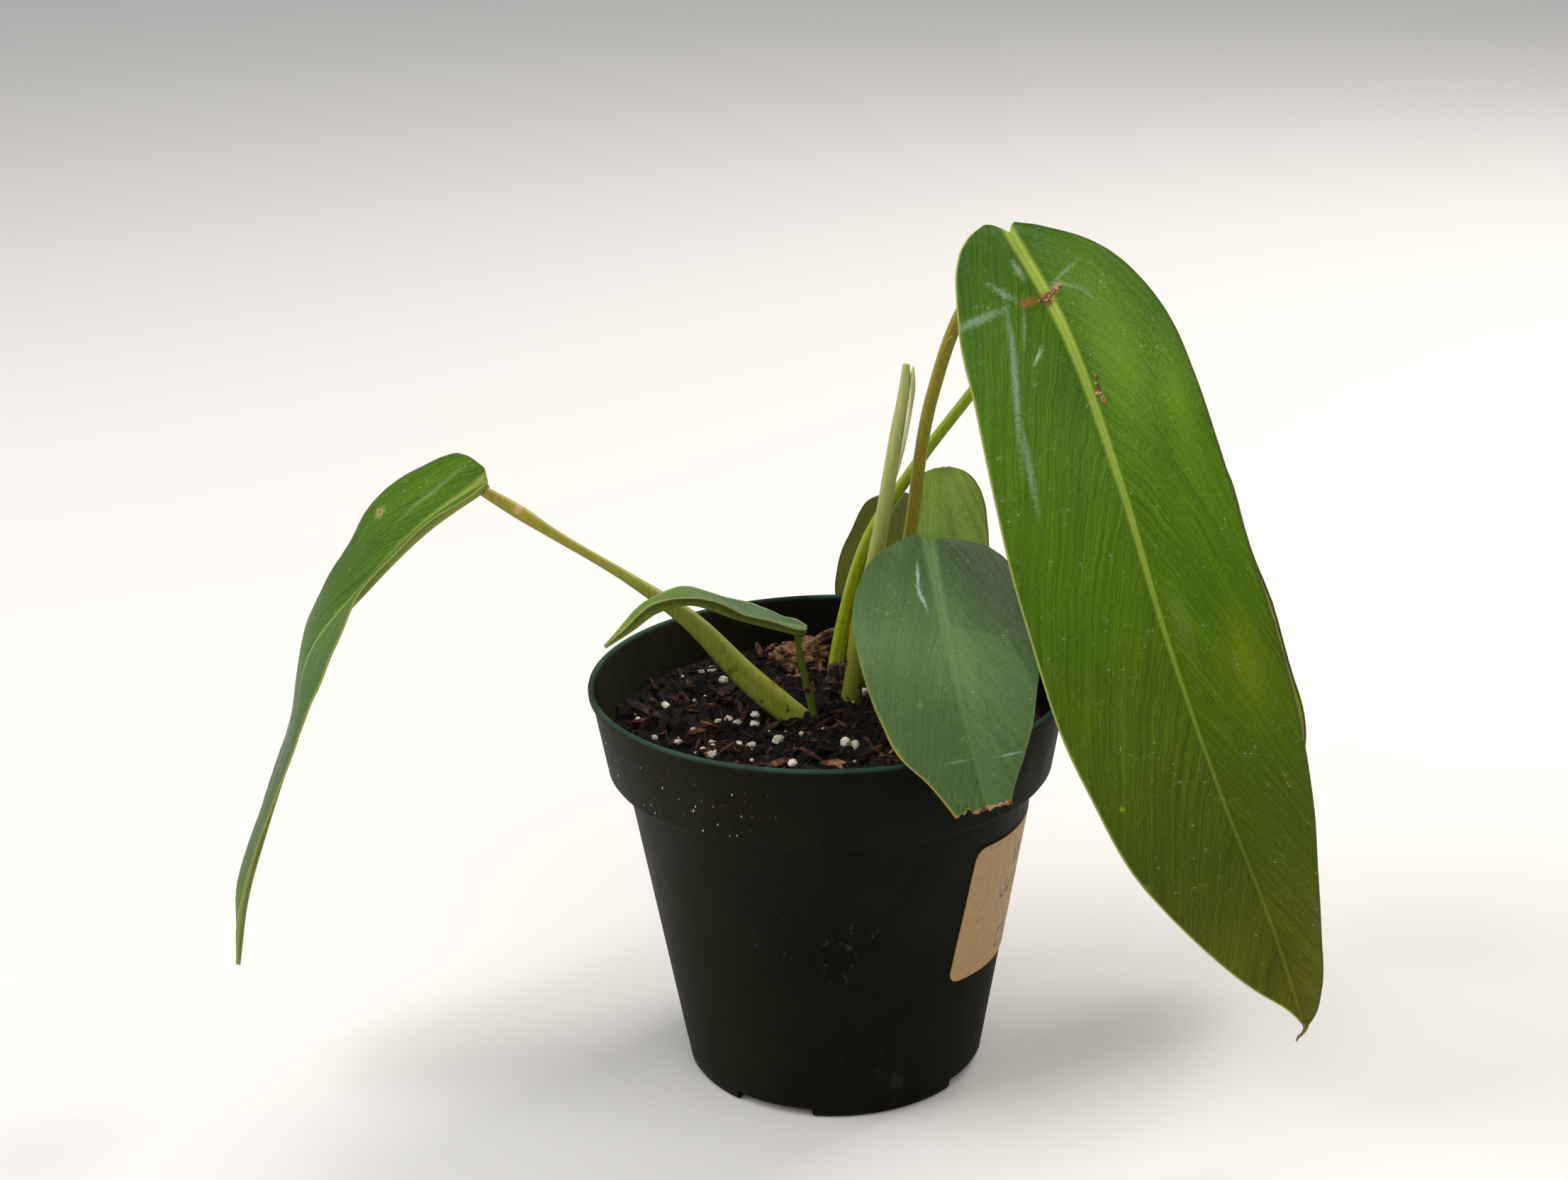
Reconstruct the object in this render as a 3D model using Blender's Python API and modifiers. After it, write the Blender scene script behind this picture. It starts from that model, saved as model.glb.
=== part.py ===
# Potted philodendron: a thin nursery pot with a turned-out band at its rim, filled with bark mix, and in it
# two young crowns that carry seven leaves on round stalks and one furled new shoot.
# Metres, +Z up. The origin is the middle of the pot's flat bottom, the big leaf hangs to +X and towards -Y.

import math

import bmesh
import bpy
from mathutils import Vector

MM = 0.001
CLEARANCE = 0.3 * MM  # between pieces that touch

# The pot.
RIM_RADIUS = 63.5 * MM
POT_HEIGHT = 110 * MM
BAND_HEIGHT = 24.3 * MM  # from the rim down to the band's lower edge
BAND_STEP = 4.2 * MM  # how far the band stands out from the wall below it
TAPER = 0.172  # gain of radius for each unit of height, the same on band and wall
POT_WALL = 1.0 * MM
POT_FLOOR = 1.4 * MM
LIP_OUT = 0.5 * MM
LIP_HEIGHT = 1.8 * MM
DRAIN_SLOTS = 4
DRAIN_WIDTH = 22 * MM
DRAIN_HEIGHT = 3.2 * MM
DRAIN_REACH = 9 * MM  # how far a slot runs in under the floor
FIRST_DRAIN = math.radians(-115)
TURNED_STEPS = 48

# The label, wrapped round the wall below the band.
LABEL_WIDTH = 62 * MM
LABEL_HEIGHT = 40 * MM
LABEL_CORNER = 3.5 * MM
LABEL_PAPER = 0.35 * MM
LABEL_AZIMUTH = math.radians(-12)
LABEL_MIDDLE = 0.5  # share of the way up the pot

# The soil and what lies in it.
SOIL_DROP = 18 * MM  # soil below the rim at the front
SOIL_RISE = 4.5 * MM  # how much higher it lies at the back
PERLITE = 1.6 * MM  # radius of a middling grain
BARK_CHIP = 9 * MM  # length of a middling chip

# The plant.
BLADE = 0.6 * MM  # thickness of a leaf blade
ROOT_DEPTH = 5.5 * MM  # how far a stalk runs down into its crown
CROWN_HEIGHT = 6.5 * MM  # half the height of a crown
SOCKET_DEPTH = 3 * ROOT_DEPTH  # length of the cutters that make the stalks' sockets

SOIL_LEVEL = POT_HEIGHT - SOIL_DROP
BAND_BOTTOM = POT_HEIGHT - BAND_HEIGHT


def mm(*values):
    return Vector(values) * MM


# ---------------------------------------------------------------- scene and objects


def clear_scene():
    for thing in list(bpy.data.objects):
        bpy.data.objects.remove(thing)


def new_collection(name):
    collection = bpy.data.collections.new(name)
    bpy.context.scene.collection.children.link(collection)
    return collection


def material(name, colour, roughness):
    made = bpy.data.materials.new(name)
    made.use_nodes = True
    shader = made.node_tree.nodes["Principled BSDF"]
    shader.inputs["Base Color"].default_value = (*colour, 1)
    shader.inputs["Roughness"].default_value = roughness
    return made


def take(name, made_of):
    """Names the active object, gives it its material and moves it to the plant's collection."""
    thing = bpy.context.object
    thing.name = name
    thing.data.name = name
    for old in list(thing.users_collection):
        old.objects.unlink(thing)
    if made_of is None:
        cutters.objects.link(thing)
        thing.hide_render = True
        thing.display_type = "WIRE"
    else:
        plant.objects.link(thing)
        thing.data.materials.append(made_of)
    return thing


def bake(thing):
    """Makes the object a plain mesh: its modifiers or its curve's bevel worked out, loose caps welded."""
    graph = bpy.context.evaluated_depsgraph_get()
    mesh = bpy.data.meshes.new_from_object(thing.evaluated_get(graph))
    shape = bmesh.new()
    shape.from_mesh(mesh)
    bmesh.ops.remove_doubles(shape, verts=shape.verts, dist=0.00001)
    shape.to_mesh(mesh)
    shape.free()
    plain = bpy.data.objects.new(thing.name, mesh)
    plain.matrix_world = thing.matrix_world
    plain.hide_render = thing.hide_render
    plain.display_type = thing.display_type
    for collection in thing.users_collection:
        collection.objects.link(plain)
    name = thing.name
    bpy.data.objects.remove(thing)
    plain.name = name
    return plain


def cut(thing, tools):
    """Takes each of the tools out of the object."""
    for tool in tools:
        boolean = thing.modifiers.new("without " + tool.name, "BOOLEAN")
        boolean.operation = "DIFFERENCE"
        boolean.solver = "EXACT"
        boolean.object = tool


# ---------------------------------------------------------------- curves through chosen points


def smooth_slopes(places, values):
    """Slope at each value, weighted so that a short stretch counts for more than a long one."""
    steps = [b - a for a, b in zip(places, places[1:])]
    chords = [(b - a) / step for a, b, step in zip(values, values[1:], steps)]
    slopes = [chords[0]]
    for i in range(1, len(chords)):
        slopes.append((chords[i - 1] * steps[i] + chords[i] * steps[i - 1]) / (steps[i - 1] + steps[i]))
    slopes.append(chords[-1])
    return slopes


def at(places, values, place):
    """Value at a place on the smooth curve through the values."""
    place = min(max(place, places[0]), places[-1])
    i = 0
    while i < len(places) - 2 and place > places[i + 1]:
        i += 1
    step = places[i + 1] - places[i]
    u = (place - places[i]) / step
    slopes = smooth_slopes(places, values)
    start = values[i] * (2 * u**3 - 3 * u**2 + 1) + slopes[i] * (u**3 - 2 * u**2 + u) * step
    end = values[i + 1] * (3 * u**2 - 2 * u**3) + slopes[i + 1] * (u**3 - u**2) * step
    return start + end


def shares_along(points):
    """Each point's share of the whole length."""
    lengths = [0]
    for a, b in zip(points, points[1:]):
        lengths.append(lengths[-1] + (b - a).length)
    return [length / lengths[-1] for length in lengths]


def tube(name, points, radii, rings, made_of):
    """A round stalk along the smooth curve through the points, with a radius for each of them."""
    places = shares_along(points)
    data = bpy.data.curves.new(name, "CURVE")
    data.dimensions = "3D"
    data.bevel_depth = 1
    data.bevel_resolution = 2
    data.use_fill_caps = True
    spline = data.splines.new("POLY")
    spline.points.add(rings - 1)
    for i, point in enumerate(spline.points):
        place = i / (rings - 1)
        point.co = (*at(places, points, place), 1)
        point.radius = at(places, radii, place)
    thing = bpy.data.objects.new(name, data)
    bpy.context.scene.collection.objects.link(thing)
    bpy.context.view_layer.objects.active = thing
    return take(name, made_of)


def turned(name, profile, made_of):
    """A shape turned about Z from (radius, height) pairs that run down its outer side."""
    mesh = bpy.data.meshes.new(name)
    edges = [(i, i + 1) for i in range(len(profile) - 1)]
    mesh.from_pydata([(radius, 0, height) for radius, height in profile], edges, [])
    thing = bpy.data.objects.new(name, mesh)
    bpy.context.scene.collection.objects.link(thing)
    bpy.context.view_layer.objects.active = thing
    screw = thing.modifiers.new("turned", "SCREW")
    screw.steps = TURNED_STEPS
    screw.render_steps = TURNED_STEPS
    screw.use_merge_vertices = True
    screw.merge_threshold = 0.00001
    return take(name, made_of)


# ---------------------------------------------------------------- the pot


def band_radius(height):
    return RIM_RADIUS - LIP_OUT - TAPER * (POT_HEIGHT - height)


def wall_radius(height):
    return band_radius(BAND_BOTTOM) - BAND_STEP - TAPER * (BAND_BOTTOM - height)


def inner_profile(gap, top):
    """The pot's inside from height top down to its floor, kept a gap away from the plastic."""
    ledge = BAND_BOTTOM + POT_WALL + gap
    thick = POT_WALL + gap
    floor = POT_FLOOR + gap
    return [
        (band_radius(top) - thick, top),
        (band_radius(ledge) - thick, ledge),
        (wall_radius(ledge) - thick, ledge),
        (wall_radius(floor) - thick, floor),
        (0, floor),
    ]


def make_pot():
    heel = 1.2 * MM
    outside = [
        (band_radius(POT_HEIGHT) + LIP_OUT - 0.3 * MM, POT_HEIGHT),
        (band_radius(POT_HEIGHT) + LIP_OUT, POT_HEIGHT - 0.4 * MM),
        (band_radius(POT_HEIGHT - LIP_HEIGHT) + LIP_OUT, POT_HEIGHT - LIP_HEIGHT),
        (band_radius(POT_HEIGHT - LIP_HEIGHT), POT_HEIGHT - LIP_HEIGHT - LIP_OUT),
        (band_radius(BAND_BOTTOM + 1.5 * MM), BAND_BOTTOM + 1.5 * MM),
        (band_radius(BAND_BOTTOM) - 0.6 * MM, BAND_BOTTOM + 0.2 * MM),
        (band_radius(BAND_BOTTOM) - 1.6 * MM, BAND_BOTTOM),
        (wall_radius(BAND_BOTTOM) + 0.6 * MM, BAND_BOTTOM),
        (wall_radius(BAND_BOTTOM - 0.6 * MM), BAND_BOTTOM - 0.6 * MM),
        (wall_radius(heel), heel),
        (wall_radius(0) - 0.35 * heel, 0.3 * heel),
        (wall_radius(0) - heel, 0),
        (0, 0),
    ]
    inside = list(reversed(inner_profile(0, POT_HEIGHT - 0.3 * MM)))
    mouth = [(band_radius(POT_HEIGHT) - POT_WALL + 0.3 * MM, POT_HEIGHT)]
    plastic = material("pot plastic", (0.012, 0.030, 0.014), 0.45)
    pot = turned("nursery_pot", inside + mouth + outside, plastic)
    cut(pot, [drain_slot(i) for i in range(DRAIN_SLOTS)])
    return pot


def drain_slot(i):
    """Cutter for a slot through the heel, open through the floor's edge and the foot of the wall."""
    bpy.ops.mesh.primitive_cube_add(size=1)
    slot = take(f"drain_cutter_{i + 1}", None)
    slot.scale = (2 * DRAIN_REACH, DRAIN_WIDTH, 2 * DRAIN_HEIGHT)
    azimuth = FIRST_DRAIN + i * 2 * math.pi / DRAIN_SLOTS
    slot.rotation_euler.z = azimuth
    slot.location = wall_radius(0) * Vector((math.cos(azimuth), math.sin(azimuth), 0))
    return slot


def make_label():
    """A rounded card rolled onto the cone of the wall: its upright edges stay parallel, as paper's do."""
    bpy.ops.mesh.primitive_grid_add(x_subdivisions=14, y_subdivisions=8, size=2)
    label = take("pot_label", material("label paper", (0.62, 0.50, 0.33), 0.6))
    slope = math.atan(TAPER)
    middle = LABEL_MIDDLE * POT_HEIGHT
    stand_off = CLEARANCE + LABEL_PAPER / 2
    apex_to_middle = (wall_radius(middle) + stand_off) / math.sin(slope)
    round_x = LABEL_CORNER / (LABEL_WIDTH / 2)
    round_y = LABEL_CORNER / (LABEL_HEIGHT / 2)
    for vertex in label.data.vertices:
        across, up = rounded(vertex.co.x, vertex.co.y, round_x, round_y)
        x = across * LABEL_WIDTH / 2
        reach = apex_to_middle + up * LABEL_HEIGHT / 2
        far = math.hypot(reach, x)
        azimuth = LABEL_AZIMUTH + math.atan2(x, reach) / math.sin(slope)
        radius = far * math.sin(slope)
        height = middle + (far - apex_to_middle) * math.cos(slope)
        vertex.co = (radius * math.cos(azimuth), radius * math.sin(azimuth), height)
    paper = label.modifiers.new("paper", "SOLIDIFY")
    paper.thickness = LABEL_PAPER
    paper.offset = 0
    return label


def rounded(x, y, round_x, round_y):
    """Moves a point of the square from -1 to 1 so that the square's corners come out round."""
    over_x = (abs(x) - 1 + round_x) / round_x
    over_y = (abs(y) - 1 + round_y) / round_y
    if over_x <= 0 or over_y <= 0:
        return x, y
    pull = max(over_x, over_y) / math.hypot(over_x, over_y)
    x = math.copysign(1 - round_x + round_x * over_x * pull, x)
    y = math.copysign(1 - round_y + round_y * over_y * pull, y)
    return x, y


# ---------------------------------------------------------------- stalks and crowns


def rooted(x, y):
    """Where a stalk starts: this far in millimetres from the pot's axis, and down in its crown."""
    return Vector((x * MM, y * MM, SOIL_LEVEL - ROOT_DEPTH))


def over_rim(azimuth):
    """The point of the rim that a leaf hangs over, from which its blade is laid out."""
    azimuth = math.radians(azimuth)
    return Vector((RIM_RADIUS * math.cos(azimuth), RIM_RADIUS * math.sin(azimuth), POT_HEIGHT))


def stalk_route(start, end, bows):
    """The straight line from start to end, with (share, x, y, z) offsets in millimetres where it bows."""
    inner = [start.lerp(end, share) + mm(x, y, z) for share, x, y, z in bows]
    return [start, *inner, end]


def make_stalk(name, route, radii, made_of, rings=12):
    """A stalk, and the cutter that makes its socket in the crown and the soil."""
    radii = [radius * MM for radius in radii]
    stalk = bake(tube(name, route, radii, rings, made_of))
    places = shares_along(route)
    length = sum((b - a).length for a, b in zip(route, route[1:]))
    buried = [step * SOCKET_DEPTH / 2 / length for step in range(3)]
    foot = [at(places, route, share) for share in buried]
    foot[0] -= (foot[1] - foot[0]).normalized() * CLEARANCE
    socket_radii = [at(places, radii, share) + CLEARANCE * 1.2 for share in buried]
    sockets.append(bake(tube(name + "_socket", foot, socket_radii, 4, None)))
    return stalk


def make_crown(name, x, y, half_x, half_y, made_of):
    """A short corky stem base that lies in the soil and just breaks its surface."""
    halves = (half_x * MM, half_y * MM, CROWN_HEIGHT)
    crown = lump(name, rooted(x, y), halves, made_of)
    pockets.append(lump(name + "_pocket", rooted(x, y), [half + 2 * CLEARANCE for half in halves], None))
    cut(crown, sockets)


def lump(name, centre, halves, made_of, turn=0):
    bpy.ops.mesh.primitive_ico_sphere_add(subdivisions=2, radius=1)
    thing = take(name, made_of)
    for vertex in thing.data.vertices:
        vertex.co = Vector(v * half for v, half in zip(vertex.co, halves))
    thing.rotation_euler.z = turn
    thing.location = centre
    return thing


# ---------------------------------------------------------------- leaves

# Outlines: width at shares of the blade's length, against its widest.
TONGUE = [
    (0, 0.06), (0.03, 0.3), (0.1, 0.58), (0.2, 0.8), (0.34, 0.95),
    (0.5, 1), (0.68, 0.91), (0.82, 0.7), (0.93, 0.4), (1, 0.02),
]
SPOON = [(0, 0.2), (0.04, 0.5), (0.12, 0.82), (0.28, 1), (0.5, 0.92), (0.7, 0.66), (0.88, 0.3), (1, 0.03)]

# Each blade: the rim azimuth it hangs over, its midrib in millimetres from that rim point, the way its upper
# face looks at shares of its length, the half widths of its left and right, how far each half folds up from
# the midrib, the depth of the lobes beside the stalk, and the share of the blade that is still there.
LEAVES = {
    "big_leaf": {
        "rim": -30,
        "midrib": [
            (-8, 31.5, 117), (3, 11, 99), (15.5, -11, 65), (26, -21, 29.5),
            (39, -24, -8), (55.5, -23, -51), (64, -22, -77),
        ],
        "faces": [
            (0, (-0.1, -0.7, 0.75)), (0.15, (-0.2, -0.9, 0.45)),
            (0.5, (-0.35, -0.88, 0.2)), (1, (-0.3, -0.9, 0.2)),
        ],
        "outline": TONGUE,
        "half_width": (33.5, 30),
        "fold": (10, 24),
        "lobe": 3,
        "length_kept": 1,
    },
    "front_leaf": {
        "rim": -58,
        "midrib": [(-8, 32, 43.5), (-5, 18, 28), (-2, 5, 13), (2, -4.5, -3), (5.5, -10, -18), (8, -14, -30)],
        "faces": [(0, (0.05, -0.8, 0.6)), (0.5, (0.35, -0.85, 0.4)), (1, (0.4, -0.85, 0.35))],
        "outline": SPOON,
        "half_width": (24, 22.5),
        "fold": (8, 10),
        "lobe": 2.5,
        "length_kept": 0.78,
    },
    "long_leaf": {
        "rim": 180,
        "midrib": [
            (-24.5, 0, 55), (-39.5, -2, 45), (-56.5, -6, 29.5), (-70.5, -10, 14),
            (-78.5, -12, -12), (-86.5, -14, -34), (-93.5, -15, -55), (-97.5, -15, -75),
        ],
        "faces": [
            (0, (-0.5, -0.1, 0.85)), (0.25, (-0.7, -0.1, 0.6)),
            (0.42, (-0.95, -0.2, 0.25)), (1, (-0.97, -0.15, 0.2)),
        ],
        "outline": SPOON,
        "half_width": (25, 20),
        "fold": (14, 16),
        "lobe": 2,
        "length_kept": 1,
    },
    "small_leaf": {
        "rim": 175,
        "midrib": [
            (57, 1, 11), (41, -2.5, 16.5), (26, -7.5, 22.5),
            (18, -10.5, 21), (12, -12.5, 17), (5, -13.5, 12.5),
        ],
        "faces": [(0, (-0.2, 0, 1)), (1, (-0.8, 0, 0.6))],
        "outline": SPOON,
        "half_width": (7.5, 7.5),
        "fold": (26, 26),
        "lobe": 1,
        "length_kept": 1,
    },
    "middle_leaf": {
        "rim": 0,
        "midrib": [(-31, 34, 46), (-28, 28, 32), (-25.5, 20, 17), (-24, 12, 2)],
        "faces": [(0, (0, -0.8, 0.6)), (1, (0.05, -0.95, 0.3))],
        "outline": SPOON,
        "half_width": (10.5, 9.5),
        "fold": (6, 6),
        "lobe": 0.5,
        "length_kept": 1,
    },
    "back_leaf": {
        "rim": 80,
        "midrib": [(8, -10.5, 34), (6, -2.5, 27), (3, 6.5, 14), (0, 14.5, -4), (-2, 18.5, -24)],
        "faces": [(0, (0, 0.6, 0.8)), (1, (0, 0.95, 0.3))],
        "outline": SPOON,
        "half_width": (9.5, 9.5),
        "fold": (6, 6),
        "lobe": 0.5,
        "length_kept": 1,
    },
    "far_leaf": {
        "rim": 25,
        "midrib": [
            (-3.5, -1, 94), (8.5, 6, 91), (21.5, 12, 76), (33.5, 15, 50),
            (45.5, 16, 18), (56.5, 16, -15), (64.5, 16, -52),
        ],
        "faces": [(0, (0.4, 0.4, 0.8)), (1, (0.8, 0.6, 0.3))],
        "outline": TONGUE,
        "half_width": (24, 24),
        "fold": (10, 10),
        "lobe": 2,
        "length_kept": 1,
    },
}


def blade_frame(leaf, share):
    """Point on the midrib, the way along it, the way its upper face looks, and the way to its left."""
    points = [over_rim(leaf["rim"]) + mm(*point) for point in leaf["midrib"]]
    places = shares_along(points)
    point = at(places, points, share)
    along = (at(places, points, share + 0.001) - at(places, points, share - 0.001)).normalized()
    face = at([s for s, _ in leaf["faces"]], [Vector(way) for _, way in leaf["faces"]], share)
    face = (face - face.dot(along) * along).normalized()
    return point, along, face, along.cross(face)


def make_blade(name, made_of, rows, columns):
    """A leaf blade: a grid laid along the midrib, widened to its outline, folded up at both sides."""
    leaf = LEAVES[name]
    bpy.ops.mesh.primitive_grid_add(x_subdivisions=columns, y_subdivisions=rows, size=2)
    blade = take(name + "_blade", made_of)
    places = [share for share, _ in leaf["outline"]]
    widths = [width for _, width in leaf["outline"]]
    for vertex in blade.data.vertices:
        across = vertex.co.x
        share = leaf["length_kept"] * (1 - math.cos(math.pi * (vertex.co.y + 1) / 2)) / 2
        point, along, face, left = blade_frame(leaf, share)
        side = 0 if across > 0 else 1
        out = abs(across) * at(places, widths, share) * leaf["half_width"][side] * MM
        fold = math.radians(leaf["fold"][side])
        lobe = leaf["lobe"] * MM * (1 - (1 - abs(across)) ** 2) * max(0, 1 - share / 0.15) ** 2
        sideways = left * math.copysign(out * math.cos(fold), across)
        vertex.co = point + sideways + face * out * math.sin(fold) - along * lobe
    for polygon in blade.data.polygons:
        polygon.use_smooth = True
    flesh = blade.modifiers.new("flesh", "SOLIDIFY")
    flesh.thickness = BLADE
    flesh.offset = 0
    return blade


def stalk_end(leaf, radius):
    """Just under the blade's base, so that the stalk's top meets the blade from below."""
    point, along, face, _ = blade_frame(LEAVES[leaf], 0)
    return point + along * 1.5 * MM - face * (radius * MM + BLADE / 2 + 2 * CLEARANCE)


# ---------------------------------------------------------------- soil, perlite and bark


def soil_height(x, y):
    """Height of the soil: level at the front, rising to the back, with low lumps that fade at the wall."""
    edge = band_radius(SOIL_LEVEL) - POT_WALL
    back = min(max((y + 0.15 * edge) / edge, 0), 1)
    rise = SOIL_RISE * back * back * (3 - 2 * back)
    u, v = x / MM, y / MM
    lumps = math.sin(u / 5.1 + 1.3) * math.cos(v / 4.3) + 0.6 * math.sin(u / 2.9 - v / 3.7)
    fade = min(1, max(0, 1 - math.hypot(x, y) / edge) * 5)
    return SOIL_LEVEL + rise + 0.7 * MM * lumps * fade


def make_soil(made_of):
    edge, *below = inner_profile(CLEARANCE, SOIL_LEVEL)
    rings = 7
    top = [(edge[0] * i / rings, SOIL_LEVEL) for i in range(rings)]
    soil = bake(turned("potting_soil", top + [edge, *below], made_of))
    for vertex in soil.data.vertices:
        if vertex.co.z > SOIL_LEVEL - 0.01 * MM:
            height = soil_height(vertex.co.x, vertex.co.y)
            if math.hypot(vertex.co.x, vertex.co.y) > edge[0] - 0.01 * MM:
                lean = (band_radius(height) - POT_WALL - CLEARANCE) / edge[0]
                vertex.co.x *= lean
                vertex.co.y *= lean
            vertex.co.z = height
    return soil


def on_soil(share, azimuth):
    """A place on the soil, as a share of the way from the axis to the wall, at an azimuth in degrees."""
    radius = share * (band_radius(SOIL_LEVEL) - POT_WALL)
    x = radius * math.cos(math.radians(azimuth))
    y = radius * math.sin(math.radians(azimuth))
    return Vector((x, y, soil_height(x, y)))


# Share of the way out, azimuth in degrees, and size of each perlite grain.
GRAINS = [
    (0.63, 176, 1.2), (0.88, 181, 1.0), (0.38, 189, 1.15), (0.23, 196, 0.9), (0.34, 165, 0.95),
    (0.15, -42, 1.2), (0.37, 244, 1.05), (0.88, 152, 1.0), (0.92, 124, 1.4), (0.62, 205, 1.0),
    (0.5, -75, 1.0), (0.78, -18, 1.1),
]

# Share of the way out, azimuth, turn in degrees, and length, width and thickness against the middling chip.
CHIPS = [
    (0.84, 101, 15, 1.5, 0.9, 0.9), (0.62, 140, 70, 1.1, 0.6, 0.4), (0.5, 222, 20, 1.0, 0.5, 0.35),
    (0.62, -70, 30, 1.5, 0.45, 0.35), (0.74, 20, 100, 1.2, 0.6, 0.4), (0.8, 205, 120, 0.9, 0.45, 0.4),
]


def half_sunk(name, centre, halves, turn, made_of):
    """A lump that lies half in the soil, and the cutter for its bed."""
    bed = [half + CLEARANCE for half in halves]
    pockets.append(lump(name + "_bed", centre, bed, None, turn))
    return lump(name, centre, halves, made_of, turn)


def make_litter(perlite, bark):
    for i, (share, azimuth, size) in enumerate(GRAINS):
        grain = PERLITE * size
        place = on_soil(share, azimuth) + Vector((0, 0, 0.25 * grain))
        half_sunk(f"perlite_grain_{i + 1}", place, (1.1 * grain, grain, 0.85 * grain), azimuth, perlite)
    for i, (share, azimuth, turn, length, width, thick) in enumerate(CHIPS):
        halves = [BARK_CHIP / 2 * size for size in (length, width, thick)]
        place = on_soil(share, azimuth) + Vector((0, 0, 0.3 * halves[2]))
        half_sunk(f"bark_chip_{i + 1}", place, halves, math.radians(turn), bark)


# ---------------------------------------------------------------- the whole plant

clear_scene()
plant = new_collection("potted_philodendron")
cutters = new_collection("cutters")
cutters.hide_render = True
sockets = []
pockets = []

make_pot()
make_label()

old_stalk = material("stalk, olive", (0.22, 0.24, 0.05), 0.4)
young_stalk = material("stalk, yellow green", (0.35, 0.50, 0.06), 0.4)
pale_shoot = material("new shoot", (0.42, 0.50, 0.20), 0.45)
sheath_skin = material("shoot sheath", (0.75, 0.72, 0.55), 0.5)
dark_leaf = material("leaf, deep green", (0.05, 0.16, 0.03), 0.35)
blue_leaf = material("leaf, blue green", (0.06, 0.14, 0.09), 0.45)
pale_leaf = material("leaf, olive green", (0.17, 0.24, 0.07), 0.45)
cork = material("crown cork", (0.06, 0.04, 0.03), 0.9)
peat = material("potting mix", (0.012, 0.008, 0.006), 0.95)
white_grain = material("perlite", (0.80, 0.78, 0.70), 0.8)
bark = material("bark", (0.16, 0.08, 0.045), 0.9)

# The stalk of each leaf: its foot, in millimetres from the pot's axis, where it bows off the straight line
# to the leaf, and its radii in millimetres at the foot, at each bow and at the leaf.
STALKS = {
    "big_leaf": {
        "foot": (12, 31),
        "bows": [(0.15, 0, 0.5, 0.5), (0.37, -3, 2.5, 2), (0.68, -8, 3.5, 2), (0.86, -7, 2.5, 1)],
        "radii": (2.1, 1.8, 1.75, 1.7, 1.7, 1.5),
        "skin": old_stalk,
    },
    "front_leaf": {
        "foot": (13, 23),
        "bows": [(0.35, 1, 4, 2), (0.7, 2, 4, 3)],
        "radii": (1.8, 1.6, 1.5, 1.3),
        "skin": old_stalk,
    },
    "long_leaf": {
        "foot": (-2.5, 13),
        "bows": [
            (0.25, 2, 1, 0), (0.45, 4, 1.5, 2.5), (0.62, 3, 1, 2.5), (0.82, 1, 0, 1.5), (0.9, 0.5, 0, 1),
        ],
        "radii": (3.7, 3.6, 2.6, 1.5, 1.4, 1.8, 1.4),
        "skin": old_stalk,
    },
    "small_leaf": {
        "foot": (-2.2, 6.8),
        "bows": [(0.5, -0.5, 0.5, 0), (0.8, -0.5, 0, 0)],
        "radii": (1.1, 0.95, 0.9, 0.8),
        "skin": young_stalk,
    },
    "middle_leaf": {
        "foot": (13, 39),
        "bows": [(0.4, -2, 3, 2), (0.75, -2, 3, 2)],
        "radii": (1.4, 1.3, 1.2, 1.0),
        "skin": young_stalk,
    },
    "back_leaf": {
        "foot": (5, 43),
        "bows": [(0.4, -2, 2, 2), (0.8, -1, 1, 3)],
        "radii": (1.4, 1.3, 1.2, 1.0),
        "skin": old_stalk,
    },
    "far_leaf": {
        "foot": (0, 38),
        "bows": [(0.2, -6, 2, 4), (0.36, -8, 2, 8), (0.55, -6, 2, 7), (0.8, -2, 2, 3)],
        "radii": (2.2, 2.0, 1.9, 1.6, 1.5, 1.4),
        "skin": young_stalk,
    },
}

for leaf, stalk in STALKS.items():
    route = stalk_route(rooted(*stalk["foot"]), stalk_end(leaf, stalk["radii"][-1]), stalk["bows"])
    make_stalk(leaf + "_stalk", route, stalk["radii"], stalk["skin"])

make_blade("big_leaf", dark_leaf, 18, 8)
make_blade("front_leaf", blue_leaf, 12, 8)
make_blade("long_leaf", dark_leaf, 16, 6)
make_blade("small_leaf", dark_leaf, 12, 4)
make_blade("middle_leaf", pale_leaf, 10, 6)
make_blade("back_leaf", pale_leaf, 10, 6)
make_blade("far_leaf", pale_leaf, 14, 6)

# The furled shoot stands by itself, and its papery sheath clings to its right side near the top.
SHOOT_FOOT = (5, 21)
SHOOT_TOP = mm(17, -6, 101.5)
shoot_start = rooted(*SHOOT_FOOT)
shoot_bows = [(0.25, -0.5, 0.5, 0), (0.6, 0, 0, 0), (0.85, 0, 0, 0)]
shoot_radii = (2.8, 2.4, 1.9, 1.8, 1.1)
shoot_route = stalk_route(shoot_start, shoot_start + SHOOT_TOP, shoot_bows)
make_stalk("new_shoot", shoot_route, shoot_radii, pale_shoot)
sheath_radius = 0.9 * MM
beside = Vector((shoot_radii[2] * MM + sheath_radius + CLEARANCE, 0, 0))
sheath_route = [shoot_start + SHOOT_TOP * share + beside for share in (0.62, 0.75, 0.9)]
tube("shoot_sheath", sheath_route, [sheath_radius / 2, sheath_radius, sheath_radius / 2], 6, sheath_skin)

make_crown("main_crown", 6.5, 32, 11, 12.5, cork)
make_crown("side_crown", -3, 11, 7.5, 8, cork)

make_litter(white_grain, bark)
soil = make_soil(peat)
cut(soil, pockets + sockets)
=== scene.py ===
import math
import random

import bpy
from mathutils import Matrix, Vector, noise


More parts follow.
